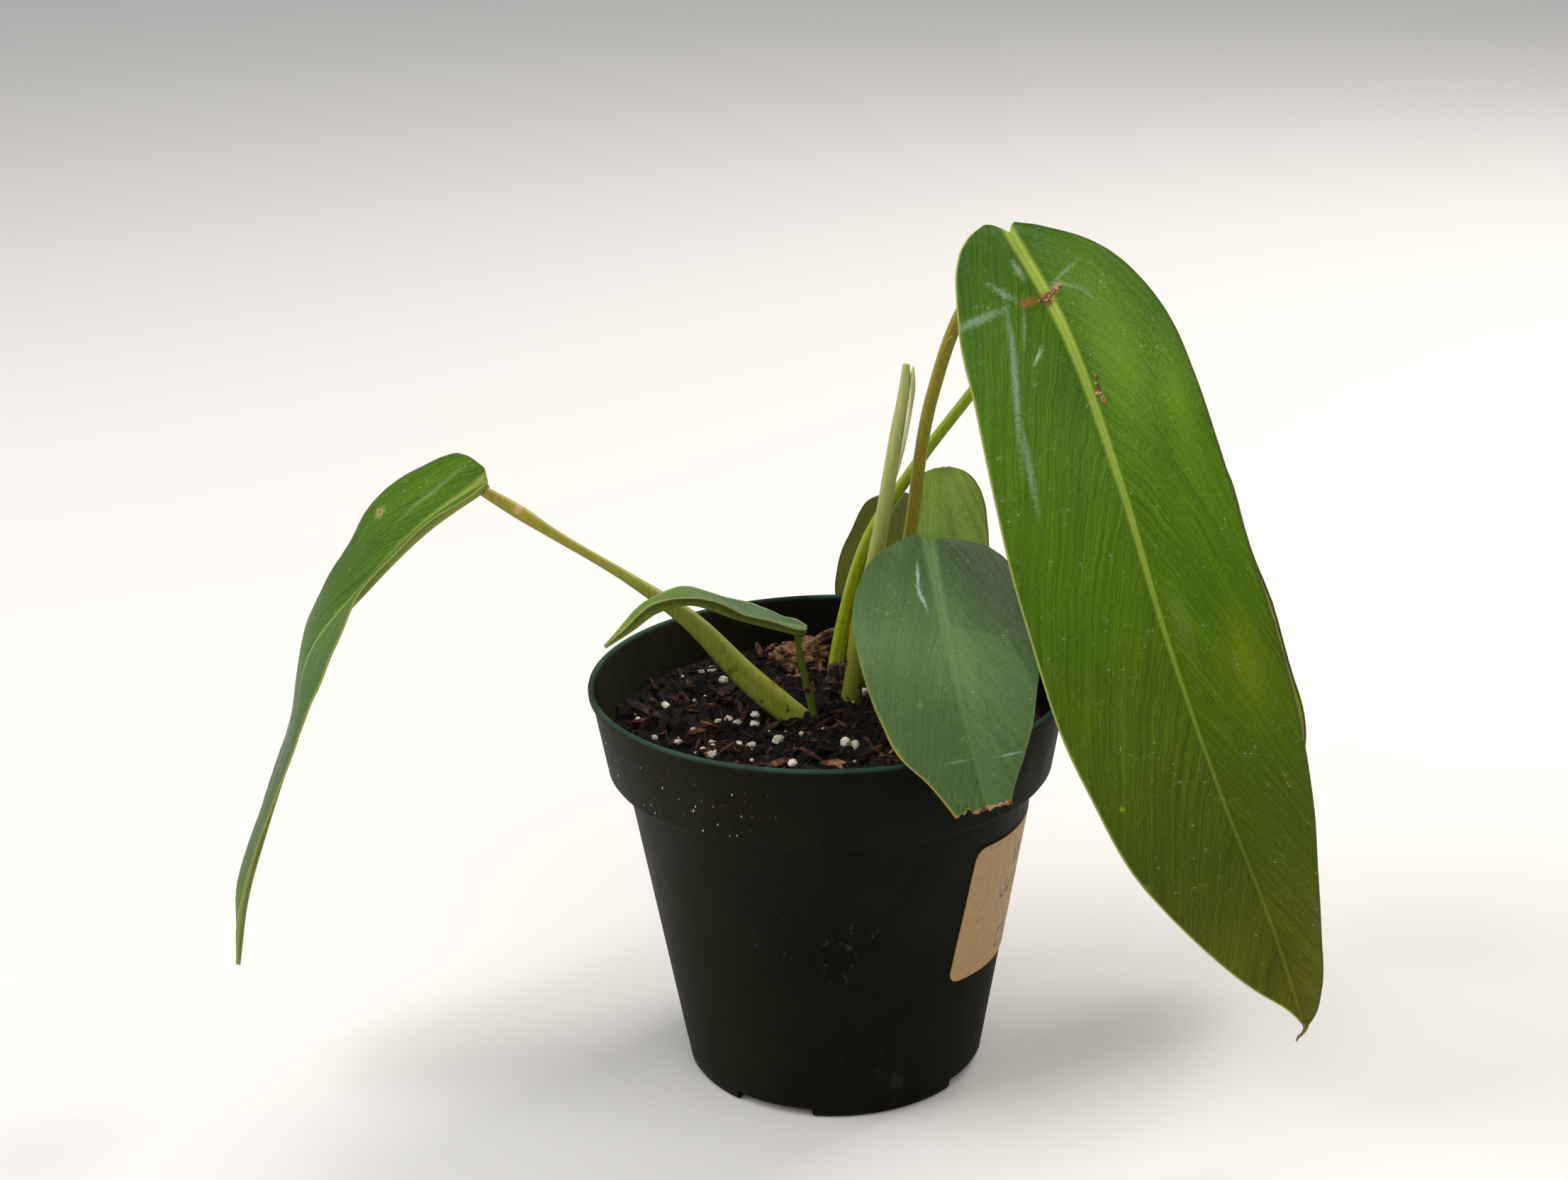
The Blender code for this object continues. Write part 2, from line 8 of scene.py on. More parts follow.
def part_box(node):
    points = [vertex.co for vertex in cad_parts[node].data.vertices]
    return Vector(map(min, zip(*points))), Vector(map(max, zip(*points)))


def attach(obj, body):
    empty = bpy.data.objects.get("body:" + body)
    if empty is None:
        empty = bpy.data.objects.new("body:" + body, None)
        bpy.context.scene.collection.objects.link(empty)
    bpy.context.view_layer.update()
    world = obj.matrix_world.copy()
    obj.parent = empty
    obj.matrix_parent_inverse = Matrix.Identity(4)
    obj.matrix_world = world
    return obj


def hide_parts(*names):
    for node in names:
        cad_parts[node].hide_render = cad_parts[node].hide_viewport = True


# A young philodendron in its nursery pot. Metres, +Z up, the pot's flat bottom centred on the origin.

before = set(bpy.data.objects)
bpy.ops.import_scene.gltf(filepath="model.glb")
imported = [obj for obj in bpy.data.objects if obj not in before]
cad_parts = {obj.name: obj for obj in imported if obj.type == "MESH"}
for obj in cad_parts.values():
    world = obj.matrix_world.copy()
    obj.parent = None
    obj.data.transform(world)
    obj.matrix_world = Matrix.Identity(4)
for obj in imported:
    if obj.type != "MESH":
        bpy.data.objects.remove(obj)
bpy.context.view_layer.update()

# ---------------------------------------------------------------- the nursery pot
# Thin polypropylene, injection-moulded in one piece: a tapered wall, a turned-out band that lets pots
# stack, a small rolled lip, and four drainage slots through the heel. The pot stands by its own weight.

MM = 0.001
pot_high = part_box("nursery_pot")[1]
POT_HEIGHT = pot_high.z
RIM_RADIUS = pot_high.x
TAPER = 0.172
BAND_HEIGHT = 24.3 * MM
BAND_STEP = 4.2 * MM
POT_WALL = 1.0 * MM
POT_FLOOR = 1.4 * MM
LIP_OUT = 0.5 * MM
LIP_HEIGHT = 1.8 * MM
HEEL = 1.2 * MM
BAND_BOTTOM = POT_HEIGHT - BAND_HEIGHT
DRAIN_SLOTS = 4
DRAIN_WIDTH = 22 * MM
DRAIN_HEIGHT = 3.2 * MM
DRAIN_REACH = 9 * MM
FIRST_DRAIN = math.radians(-115)
POT_SIDES = 192


def paint(code):
    """An sRGB hex colour as the linear colour that sockets take."""
    parts = [int(code[i:i + 2], 16) / 255 for i in (1, 3, 5)]
    linear = [part / 12.92 if part <= 0.04045 else ((part + 0.055) / 1.055) ** 2.4 for part in parts]
    return (*linear, 1)


def add(tree, kind, sockets=None, stops=None, out=0, **settings):
    """Adds one node, with its settings, its sockets' values or links, and a ramp's stops. Gives the output
    socket called out, or all of them."""
    made = tree.nodes.new("ShaderNode" + kind)
    for name, value in settings.items():
        setattr(made, name, value)
    for key, value in (sockets or {}).items():
        if isinstance(value, bpy.types.NodeSocket):
            tree.links.new(value, made.inputs[key])
        else:
            made.inputs[key].default_value = value
    for i, (place, colour) in enumerate(stops or []):
        stop = made.color_ramp.elements[i] if i < 2 else made.color_ramp.elements.new(place)
        stop.position = place
        stop.color = paint(colour) if isinstance(colour, str) else (colour, colour, colour, 1)
    return made.outputs if out is None else made.outputs[out]


def distance(tree, place, centre, weights):
    """How far a place is from the centre, each axis stretched by its weight."""
    off = add(tree, "VectorMath", {0: place, 1: centre}, operation="SUBTRACT")
    off = add(tree, "VectorMath", {0: off, 1: weights}, operation="MULTIPLY")
    return add(tree, "VectorMath", {0: off}, operation="LENGTH", out="Value")


def new_finish(name, **constants):
    """A material with its Principled shader's constant sockets set."""
    made = bpy.data.materials.new(name)
    made.use_nodes = True
    shader = made.node_tree.nodes["Principled BSDF"]
    for socket, value in constants.items():
        shader.inputs[socket.replace("_", " ")].default_value = value
    return made, made.node_tree, shader


def plug(tree, shader, **outputs):
    """Links output sockets to the shader's sockets of these names."""
    for socket, output in outputs.items():
        tree.links.new(output, shader.inputs[socket.replace("_", " ")])


def fit(piece, name, slot, *nodes, skins=()):
    """Names a finished piece, gives it its finish and fixes it to the plant in place of its CAD nodes."""
    piece.name = name
    piece.data.name = name
    for skin in skins:
        piece.data.materials.append(skin)
    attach(piece, "root")
    if nodes:
        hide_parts(*nodes)
    return piece


def turned(profile, segments):
    """A turned closed shell: the last ring of a disc is extruded from one (radius, height) to the next."""
    bpy.ops.object.select_all(action="DESELECT")
    radius, height = profile[0]
    bpy.ops.mesh.primitive_circle_add(
        vertices=segments, radius=radius, fill_type="NGON", location=(0, 0, height),
    )
    bpy.ops.object.transform_apply(location=True)
    bpy.ops.object.mode_set(mode="EDIT")
    for next_radius, next_height in profile[1:]:
        bpy.ops.mesh.extrude_region_move(TRANSFORM_OT_translate={"value": (0, 0, next_height - height)})
        scale = next_radius / radius
        bpy.ops.transform.resize(value=(scale, scale, 1), center_override=(0, 0, next_height))
        radius, height = next_radius, next_height
    bpy.ops.mesh.select_all(action="SELECT")
    bpy.ops.mesh.normals_make_consistent(inside=False)
    bpy.ops.object.mode_set(mode="OBJECT")
    return bpy.context.object


def apply_all(piece):
    """Works out the piece's modifiers and smooths it, leaving edges sharper than 40 degrees sharp."""
    bpy.ops.object.select_all(action="DESELECT")
    piece.select_set(True)
    bpy.context.view_layer.objects.active = piece
    for modifier in list(piece.modifiers):
        bpy.ops.object.modifier_apply(modifier=modifier.name)
    bpy.ops.object.shade_smooth_by_angle(angle=math.radians(40))
    return piece


def band_radius(height):
    return RIM_RADIUS - LIP_OUT - TAPER * (POT_HEIGHT - height)


def wall_radius(height):
    return band_radius(BAND_BOTTOM) - BAND_STEP - TAPER * (BAND_BOTTOM - height)


def pot_profile():
    """Down the middle of the underside, out, up the outside, over the lip and down the inside."""
    lip = band_radius(POT_HEIGHT) + LIP_OUT
    ledge = BAND_BOTTOM + POT_WALL
    under_lip = POT_HEIGHT - LIP_HEIGHT
    return [
        (3 * MM, 0),
        (wall_radius(0) - 6 * MM, 0),
        (wall_radius(0) - HEEL, 0),
        (wall_radius(0) - 0.35 * HEEL, 0.3 * HEEL),
        (wall_radius(HEEL), HEEL),
        (wall_radius(DRAIN_HEIGHT + 0.6 * MM), DRAIN_HEIGHT + 0.6 * MM),
        (wall_radius(DRAIN_HEIGHT + 2 * MM), DRAIN_HEIGHT + 2 * MM),
        (wall_radius(0.5 * BAND_BOTTOM), 0.5 * BAND_BOTTOM),
        (wall_radius(BAND_BOTTOM - 0.6 * MM), BAND_BOTTOM - 0.6 * MM),
        (wall_radius(BAND_BOTTOM) + 0.6 * MM, BAND_BOTTOM),
        (band_radius(BAND_BOTTOM) - 1.3 * MM, BAND_BOTTOM + 0.05 * MM),
        (band_radius(BAND_BOTTOM) - 0.4 * MM, BAND_BOTTOM + 0.5 * MM),
        (band_radius(BAND_BOTTOM + 1.4 * MM), BAND_BOTTOM + 1.4 * MM),
        (band_radius(under_lip - 0.7 * MM), under_lip - 0.7 * MM),
        (lip - 0.35 * MM, under_lip - 0.35 * MM),
        (lip - 0.05 * MM, under_lip),
        (lip, POT_HEIGHT - 0.9 * MM),
        (lip - 0.15 * MM, POT_HEIGHT - 0.4 * MM),
        (lip - 0.5 * MM, POT_HEIGHT - 0.08 * MM),
        (lip - 0.8 * MM, POT_HEIGHT),
        (lip - 1.2 * MM, POT_HEIGHT - 0.1 * MM),
        (lip - 1.5 * MM, POT_HEIGHT - 0.5 * MM),
        (band_radius(under_lip) - POT_WALL, under_lip),
        (band_radius(ledge) - POT_WALL, ledge),
        (wall_radius(ledge) - POT_WALL, ledge),
        (wall_radius(0.5 * BAND_BOTTOM) - POT_WALL, 0.5 * BAND_BOTTOM),
        (wall_radius(DRAIN_HEIGHT + 2 * MM) - POT_WALL, DRAIN_HEIGHT + 2 * MM),
        (wall_radius(DRAIN_HEIGHT + 0.6 * MM) - POT_WALL, DRAIN_HEIGHT + 0.6 * MM),
        (wall_radius(POT_FLOOR) - POT_WALL, POT_FLOOR),
        (3 * MM, POT_FLOOR),
    ]


pot = turned(pot_profile(), POT_SIDES)
drain_cutters = []
for i in range(DRAIN_SLOTS):
    azimuth = FIRST_DRAIN + i * 2 * math.pi / DRAIN_SLOTS
    bpy.ops.mesh.primitive_cube_add(size=1, scale=(2 * DRAIN_REACH, DRAIN_WIDTH, 2 * DRAIN_HEIGHT))
    slot_cutter = bpy.context.object
    slot_cutter.rotation_euler.z = azimuth
    slot_cutter.location = wall_radius(0) * Vector((math.cos(azimuth), math.sin(azimuth), 0))
    drain_cutters.append(slot_cutter)
    drain = pot.modifiers.new("drain", "BOOLEAN")
    drain.object = slot_cutter
    drain.solver = "EXACT"
apply_all(pot)
for slot_cutter in drain_cutters:
    bpy.data.objects.remove(slot_cutter)

# Polypropylene, injection-moulded with a fine satin texture. It is pigmented a green so dark that it looks
# near black; the top of the thin lip is painted lighter green, partly its own green and partly a painted
# highlight. It carries smears of dried water and peat and a few scuffs.
pot_skin, tree, shader = new_finish("moulded polypropylene", IOR=1.49, Specular_IOR_Level=0.05)
place = add(tree, "TexCoord", out="Object")
spot = add(tree, "SeparateXYZ", {0: place}, out=None)
height = spot["Z"]
# The top of the lip is painted lighter green: partly the pot's own green, partly a painted highlight where
# it faces the light.
lip_green_and_highlight = add(tree, "MapRange", {0: height, 1: POT_HEIGHT - 1.1 * MM, 2: POT_HEIGHT - 0.25 * MM})
mottle = add(tree, "TexNoise", {"Vector": place, "Scale": 45, "Detail": 6})
body = add(tree, "ValToRGB", {0: mottle}, stops=[(0.3, "#070702"), (0.7, "#0f0f05")])
green = add(tree, "ValToRGB", {0: mottle}, stops=[(0.3, "#152c1f"), (0.7, "#355747")])
colour = add(tree, "Mix", {0: lip_green_and_highlight, 6: body, 7: green}, data_type="RGBA", out=2)
# The left of the pot, inside and out, is a little greener and lighter in dusty smears: partly dust, partly
# painted light falling from the left.
painted_left_light = add(tree, "MapRange", {0: spot["X"], 1: 0, 2: -RIM_RADIUS, 3: 0, 4: 0.55})
tall = add(tree, "Mapping", {0: place, 3: (1, 1, 0.35)})
smear = add(tree, "TexNoise", {"Vector": tall, "Scale": 70, "Detail": 9, "Roughness": 0.75})
dust = add(tree, "ValToRGB", {0: smear}, stops=[(0.3, 0.15), (0.7, 0.6)])
dust = add(tree, "Math", {0: dust, 1: painted_left_light}, operation="MULTIPLY")
colour = add(tree, "Mix", {0: dust, 6: colour, 7: paint("#46462c")}, data_type="RGBA", out=2)
streak = add(tree, "ValToRGB", {0: smear}, stops=[(0.62, 0), (0.8, 0.3)])
colour = add(tree, "Mix", {0: streak, 6: colour, 7: paint("#5b5138")}, data_type="RGBA", out=2)
# A ring and a long scratch of dried, chalky water on the front: each a band round a place, broken by noise.
CHALK_MARKS = [
    # x and z of the middle, radius and width of the band in mm, how many times taller than wide
    (7.5, 60, 3.4, 0.9, 1.0), (-16, 58, 10, 0.5, 2.4), (1, 51, 6, 2.5, 1.6),
]
for x_mm, z_mm, reach, width, narrow in CHALK_MARKS:
    away = distance(tree, place, (x_mm * MM, 0, z_mm * MM), (narrow, 0, 1))
    away = add(tree, "Math", {0: away, 1: reach * MM}, operation="SUBTRACT")
    away = add(tree, "Math", {0: away}, operation="ABSOLUTE")
    band = add(tree, "MapRange", {0: away, 1: width * MM, 2: 0.2 * width * MM})
    broken = add(tree, "TexNoise", {"Vector": place, "Scale": 500, "Detail": 6, "Roughness": 0.8})
    broken = add(tree, "ValToRGB", {0: broken}, stops=[(0.56, 0), (0.68, 0.28)])
    band = add(tree, "Math", {0: band, 1: broken}, operation="MULTIPLY")
    front = add(tree, "MapRange", {0: spot["Y"], 1: 0, 2: -20 * MM})
    band = add(tree, "Math", {0: band, 1: front}, operation="MULTIPLY")
    colour = add(tree, "Mix", {0: band, 6: colour, 7: paint("#7d8a7c")}, data_type="RGBA", out=2)
gloss = add(tree, "MapRange", {0: smear, 1: 0.3, 2: 0.75, 3: 0.48, 4: 0.68})
grain = add(tree, "TexNoise", {"Vector": place, "Scale": 900, "Detail": 3})
scuff = add(tree, "Bump", {"Height": grain, "Strength": 0.25, "Distance": 0.1 * MM})
plug(tree, shader, Base_Color=colour, Roughness=gloss, Normal=scuff)

fit(pot, "pot", "pot_plastic", "nursery_pot", skins=[pot_skin])

# ---------------------------------------------------------------- the label
# A card of coated paper with rounded corners, stuck to the wall below the band. Its edges stay parallel as
# it rolls round the cone. Its writing is left as plain pen strokes that spell nothing.

LABEL_WIDTH = 62 * MM
LABEL_HEIGHT = 40 * MM
LABEL_CORNER = 3.5 * MM
LABEL_PAPER = 0.25 * MM
LABEL_GLUE = 0.05 * MM
LABEL_AZIMUTH = math.radians(-12)
LABEL_COLUMNS, LABEL_ROWS = 84, 56


def around(radius, azimuth, height):
    """A place this far from the pot's axis."""
    return Vector((radius * math.cos(azimuth), radius * math.sin(azimuth), height))


def rounded(x, y, half_x, half_y, corner):
    """Moves a point of a flat card so that the card's square corners come out round."""
    over_x = (abs(x) - half_x + corner) / corner
    over_y = (abs(y) - half_y + corner) / corner
    if over_x <= 0 or over_y <= 0:
        return x, y
    pull = max(over_x, over_y) / math.hypot(over_x, over_y)
    x = math.copysign(half_x - corner + corner * over_x * pull, x)
    y = math.copysign(half_y - corner + corner * over_y * pull, y)
    return x, y


bpy.ops.object.select_all(action="DESELECT")
bpy.ops.mesh.primitive_grid_add(x_subdivisions=LABEL_COLUMNS, y_subdivisions=LABEL_ROWS, size=2)
label = bpy.context.object
label_slope = math.atan(TAPER)
label_middle = POT_HEIGHT / 2
apex_to_middle = (wall_radius(label_middle) + LABEL_GLUE) / math.sin(label_slope)
flat_card = {}
for vertex in label.data.vertices:
    x, y = vertex.co.x * LABEL_WIDTH / 2, vertex.co.y * LABEL_HEIGHT / 2
    x, y = rounded(x, y, LABEL_WIDTH / 2, LABEL_HEIGHT / 2, LABEL_CORNER)
    flat_card[vertex.index] = (x / MM, y / MM)
    reach = apex_to_middle + y
    far = math.hypot(reach, x)
    azimuth = LABEL_AZIMUTH + math.atan2(x, reach) / math.sin(label_slope)
    radius = far * math.sin(label_slope)
    height = label_middle + (far - apex_to_middle) * math.cos(label_slope)
    vertex.co = around(radius, azimuth, height)
label_map = label.data.uv_layers.new(name="card")
for loop in label.data.loops:
    label_map.data[loop.index].uv = flat_card[loop.vertex_index]
paper = label.modifiers.new("paper", "SOLIDIFY")
paper.thickness = LABEL_PAPER
paper.offset = 1
apply_all(label)

# Coated label paper, machine-made and printed matt: cream paper painted down to a darker tan as painted
# shade, faintly mottled, with dark felt-pen strokes.
label_skin, tree, shader = new_finish("coated label paper", Roughness=0.55, IOR=1.5)
card = add(tree, "UVMap", uv_map="card")
fibre = add(tree, "TexNoise", {"Vector": card, "Scale": 0.5, "Detail": 8})
colour = add(tree, "ValToRGB", {0: fibre}, stops=[(0.3, "#937548"), (0.7, "#a38557")])
flat = add(tree, "SeparateXYZ", {0: card}, out=None)
PEN_LINES = [
    # each line's height on the card, reach of its strokes, radians per mm, left end and right end in mm
    (11, 2.0, 1.9, -10, 22), (2.5, 1.7, 1.6, -15, 16),
]
for line, (middle, reach, beat, begin, end) in enumerate(PEN_LINES):
    wobble = add(tree, "TexNoise", {"Vector": card, "Scale": 0.35 + 0.1 * line, "Detail": 2})
    swing = add(tree, "Math", {0: flat["X"], 1: beat}, operation="MULTIPLY")
    swing = add(tree, "Math", {0: wobble, 1: 14, 2: swing}, operation="MULTIPLY_ADD")
    swing = add(tree, "Math", {0: swing}, operation="SINE")
    size = add(tree, "Math", {0: wobble, 1: 2.2 * reach}, operation="MULTIPLY")
    pen = add(tree, "Math", {0: swing, 1: size, 2: middle}, operation="MULTIPLY_ADD")
    off_pen = add(tree, "Math", {0: flat["Y"], 1: pen}, operation="SUBTRACT")
    off_pen = add(tree, "Math", {0: off_pen}, operation="ABSOLUTE")
    ink = add(tree, "MapRange", {0: off_pen, 1: 1.0, 2: 0.45})
    left = add(tree, "Math", {0: flat["X"], 1: begin}, operation="GREATER_THAN")
    right = add(tree, "Math", {0: flat["X"], 1: end}, operation="LESS_THAN")
    ink = add(tree, "Math", {0: ink, 1: left}, operation="MULTIPLY")
    ink = add(tree, "Math", {0: ink, 1: right}, operation="MULTIPLY")
    colour = add(tree, "Mix", {0: ink, 6: colour, 7: paint("#1d1712")}, data_type="RGBA", out=2)
# A small plain printed square near the foot.
square = add(tree, "VectorMath", {0: card, 1: (-8, -13.5, 0)}, operation="SUBTRACT")
square = add(tree, "VectorMath", {0: square}, operation="ABSOLUTE")
sides = add(tree, "SeparateXYZ", {0: square}, out=None)
farther = add(tree, "Math", {0: sides["X"], 1: sides["Y"]}, operation="MAXIMUM")
frame_line = add(tree, "Math", {0: farther, 1: 2.6, 2: 0.3}, operation="COMPARE")
colour = add(tree, "Mix", {0: frame_line, 6: colour, 7: paint("#463a2c")}, data_type="RGBA", out=2)
tooth = add(tree, "Bump", {"Height": fibre, "Strength": 0.15, "Distance": 0.05 * MM})
plug(tree, shader, Base_Color=colour, Normal=tooth)

fit(label, "label", "label_paper", "pot_label", skins=[label_skin])

# ---------------------------------------------------------------- the potting mix
# Damp peat with composted bark, filled in by hand: a lumpy bed, higher at the back, under loose crumbs,
# bark shreds, root fibres and perlite. The bed fills the pot down to its floor.

SOIL_LEVEL = POT_HEIGHT - 18 * MM
SOIL_RISE = 4.5 * MM
SOIL_GAP = 0.35 * MM
SOIL_EDGE = band_radius(SOIL_LEVEL) - POT_WALL - SOIL_GAP
BED_RINGS, BED_SIDES = 64, 300
CRUMBS = 1700
SHREDS = 560
LOOSE_FIBRES, BUNDLED_FIBRES = 170, 46
CLUSTER_GRAINS, PERLITE_DUST = 7, 70
SPLASHES_INSIDE, SPLASHES_OUTSIDE = 150, 26
FLECKS, FRONT_FLECKS = 26, 16
random.seed(7)


def ground(x, y):
    """Height of the potting mix at a place, with its lumps and its small rough detail."""
    back = min(max((y + 0.15 * SOIL_EDGE) / SOIL_EDGE, 0), 1)
    rise = SOIL_RISE * back * back * (3 - 2 * back)
    u, v = x / MM, y / MM
    lumps = math.sin(u / 5.1 + 1.3) * math.cos(v / 4.3) + 0.6 * math.sin(u / 2.9 - v / 3.7)
    rough = noise.fractal(Vector((u, v, 3)) * 0.28, 1.0, 2.0, 5)
    hollow = math.exp(-((u - 2) ** 2 + (v + 14) ** 2) / 60)
    fade = min(1, max(0, 1 - math.hypot(x, y) / SOIL_EDGE) * 6)
    pits = noise.fractal(Vector((u, v, 9)) * 0.11, 1.0, 2.0, 3)
    return SOIL_LEVEL + rise + (0.6 * lumps + 2.0 * rough + 2.4 * pits - 2.2 * hollow) * MM * fade


inner_ledge = BAND_BOTTOM + POT_WALL + SOIL_GAP
bed_profile = [(SOIL_EDGE * ring / BED_RINGS, SOIL_LEVEL) for ring in range(1, BED_RINGS + 1)]
bed_profile += [
    (band_radius(inner_ledge) - POT_WALL - SOIL_GAP, inner_ledge),
    (wall_radius(inner_ledge) - POT_WALL - SOIL_GAP, inner_ledge),
    (wall_radius(POT_FLOOR) - POT_WALL - SOIL_GAP, POT_FLOOR + SOIL_GAP),
    (2 * MM, POT_FLOOR + SOIL_GAP),
]
bed = turned(bed_profile, BED_SIDES)
for vertex in bed.data.vertices:
    if vertex.co.z > SOIL_LEVEL - 0.01 * MM:
        height = ground(vertex.co.x, vertex.co.y)
        if math.hypot(vertex.co.x, vertex.co.y) > SOIL_EDGE - 0.01 * MM:
            lean = (band_radius(height) - POT_WALL - SOIL_GAP) / SOIL_EDGE
            vertex.co.x *= lean
            vertex.co.y *= lean
        vertex.co.z = height
apply_all(bed)

# Damp sphagnum peat, milled: near black, crumbly, with a little wet shine and brown fibre in it.
peat_skin, tree, shader = new_finish("damp peat", IOR=1.4, Specular_IOR_Level=0.25)
place = add(tree, "TexCoord", out="Object")
tone = add(tree, "TexNoise", {"Vector": place, "Scale": 420, "Detail": 8, "Roughness": 0.7})
colour = add(
    tree, "ValToRGB", {0: tone},
    stops=[(0.38, "#060403"), (0.55, "#130c09"), (0.66, "#2b1b14"), (0.8, "#5a3a2b")],
)
wet = add(tree, "MapRange", {0: tone, 1: 0.3, 2: 0.7, 3: 0.62, 4: 0.95})
crumb = add(tree, "TexVoronoi", {"Vector": place, "Scale": 900})
pile = add(tree, "Math", {0: crumb, 1: tone}, operation="ADD")
rough = add(tree, "Bump", {"Height": pile, "Strength": 0.8, "Distance": 0.6 * MM})
plug(tree, shader, Base_Color=colour, Roughness=wet, Normal=rough)

fit(bed, "mix_bed", "potting_mix", "potting_soil", skins=[peat_skin])


def soil_place(share, azimuth):
    """A place on the mix, this share of the way out to the wall, at an azimuth in degrees."""
    x = share * SOIL_EDGE * math.cos(math.radians(azimuth))
    y = share * SOIL_EDGE * math.sin(math.radians(azimuth))
    return Vector((x, y, ground(x, y)))


def any_place():
    """A random place on the mix, as likely anywhere."""
    return soil_place(0.97 * math.sqrt(random.random()), random.uniform(0, 360))


def scatter(master, places, skin):
    """Copies the master to each (place, size, turn), joins the copies and takes the master away."""
    copies = []
    for spot, size, turn in places:
        copy = bpy.data.objects.new("copy", master.data.copy())
        bpy.context.scene.collection.objects.link(copy)
        copy.matrix_world = Matrix.Translation(spot) @ turn.to_4x4() @ Matrix.Diagonal((*size, 1))
        copies.append(copy)
    bpy.ops.object.select_all(action="DESELECT")
    for copy in copies:
        copy.select_set(True)
    bpy.context.view_layer.objects.active = copies[0]
    bpy.ops.object.join()
    bpy.ops.object.transform_apply(location=True, rotation=True, scale=True)
    piece = bpy.context.object
    piece.data.materials.append(skin)
    bpy.data.objects.remove(master)
    return piece


def any_turn():
    """A random turn in space."""
    axis = Vector([random.uniform(-1, 1) for _ in range(3)]).normalized()
    return Matrix.Rotation(random.uniform(0, 2 * math.pi), 3, axis)


def flat_turn(tilt=0.35):
    """A random turn about Z with a little tilt, as a thing that has settled on the mix."""
    lean_x = Matrix.Rotation(random.uniform(-tilt, tilt), 3, "X")
    lean_y = Matrix.Rotation(random.uniform(-tilt, tilt), 3, "Y")
    return Matrix.Rotation(random.uniform(0, 2 * math.pi), 3, "Z") @ (lean_x @ lean_y)


def lump(roughness, detail, seed):
    """A lump of bark or peat: a ball of radius one, pushed in and out by noise."""
    bpy.ops.object.select_all(action="DESELECT")
    bpy.ops.mesh.primitive_ico_sphere_add(subdivisions=detail, radius=1)
    made = bpy.context.object
    for vertex in made.data.vertices:
        way = vertex.co.normalized()
        vertex.co *= 1 + roughness * noise.fractal(way * 1.7 + Vector((seed, 0, 0)), 0.9, 2.1, 4)
    return made


# Crumbs of peat, from half a millimetre to five across.
crumb_master = lump(0.5, 1, 5)
spots = []
for i in range(CRUMBS):
    large = i % 18 == 0
    crumb_size = MM * (random.uniform(1.2, 2.4) if large else min(random.lognormvariate(-0.6, 0.5), 1.3))
    spot = any_place() + Vector((0, 0, 0.25 * crumb_size))
    spots.append((spot, [crumb_size * random.uniform(0.7, 1.2) for _ in range(3)], any_turn()))
crumbs = scatter(crumb_master, spots, peat_skin)
fit(crumbs, "peat_crumbs", "potting_mix")

def grainy_finish(name, grain, stops, relief, **constants):
    """A finish whose colour and relief follow one noise of (scale, detail, roughness). relief is the bump's
    (strength, distance in mm)."""
    made, tree, shader = new_finish(name, **constants)
    sockets = dict(zip(("Scale", "Detail", "Roughness"), grain))
    tone = add(tree, "TexNoise", {"Vector": add(tree, "TexCoord", out="Object"), **sockets})
    colour = add(tree, "ValToRGB", {0: tone}, stops=stops)
    rough = add(tree, "Bump", {"Height": tone, "Strength": relief[0], "Distance": relief[1] * MM})
    plug(tree, shader, Base_Color=colour, Normal=rough)
    return made


# Composted pine bark, shredded: flat splinters from dark brown to red-brown, each with its own tone.
shred_skin, tree, shader = new_finish("composted bark", Roughness=0.85, IOR=1.4, Specular_IOR_Level=0.3)
place = add(tree, "TexCoord", out="Object")
tone = add(tree, "TexNoise", {"Vector": place, "Scale": 150, "Detail": 6, "Roughness": 0.65})
colour = add(
    tree, "ValToRGB", {0: tone},
    stops=[(0.38, "#110906"), (0.49, "#301b13"), (0.58, "#5f3b28"), (0.7, "#a07a58")],
)
split = add(tree, "TexNoise", {"Vector": place, "Scale": 1100, "Detail": 4})
rough = add(tree, "Bump", {"Height": split, "Strength": 0.7, "Distance": 0.3 * MM})
plug(tree, shader, Base_Color=colour, Normal=rough)

bpy.ops.object.select_all(action="DESELECT")
bpy.ops.mesh.primitive_cube_add(size=2)
shred_master = bpy.context.object
bpy.ops.object.mode_set(mode="EDIT")
bpy.ops.mesh.subdivide(number_cuts=2)
bpy.ops.object.mode_set(mode="OBJECT")
for vertex in shred_master.data.vertices:
    taper = 1 - 0.6 * abs(vertex.co.x) ** 2
    vertex.co.y = vertex.co.y * taper + 0.25 * math.sin(2.2 * vertex.co.x)
    vertex.co.z = vertex.co.z * taper + 0.8 * noise.noise(vertex.co * 1.3)
spots = []
for i in range(SHREDS):
    length = (random.uniform(3.5, 6) if i % 8 == 0 else random.uniform(1.0, 3.4)) * MM
    size = (length, length * random.uniform(0.1, 0.32), random.uniform(0.15, 0.45) * MM)
    spots.append((any_place() + Vector((0, 0, random.uniform(0.2, 1.5) * MM)), size, flat_turn(0.6)))
shreds = scatter(shred_master, spots, shred_skin)
fit(shreds, "bark_shreds", "bark")


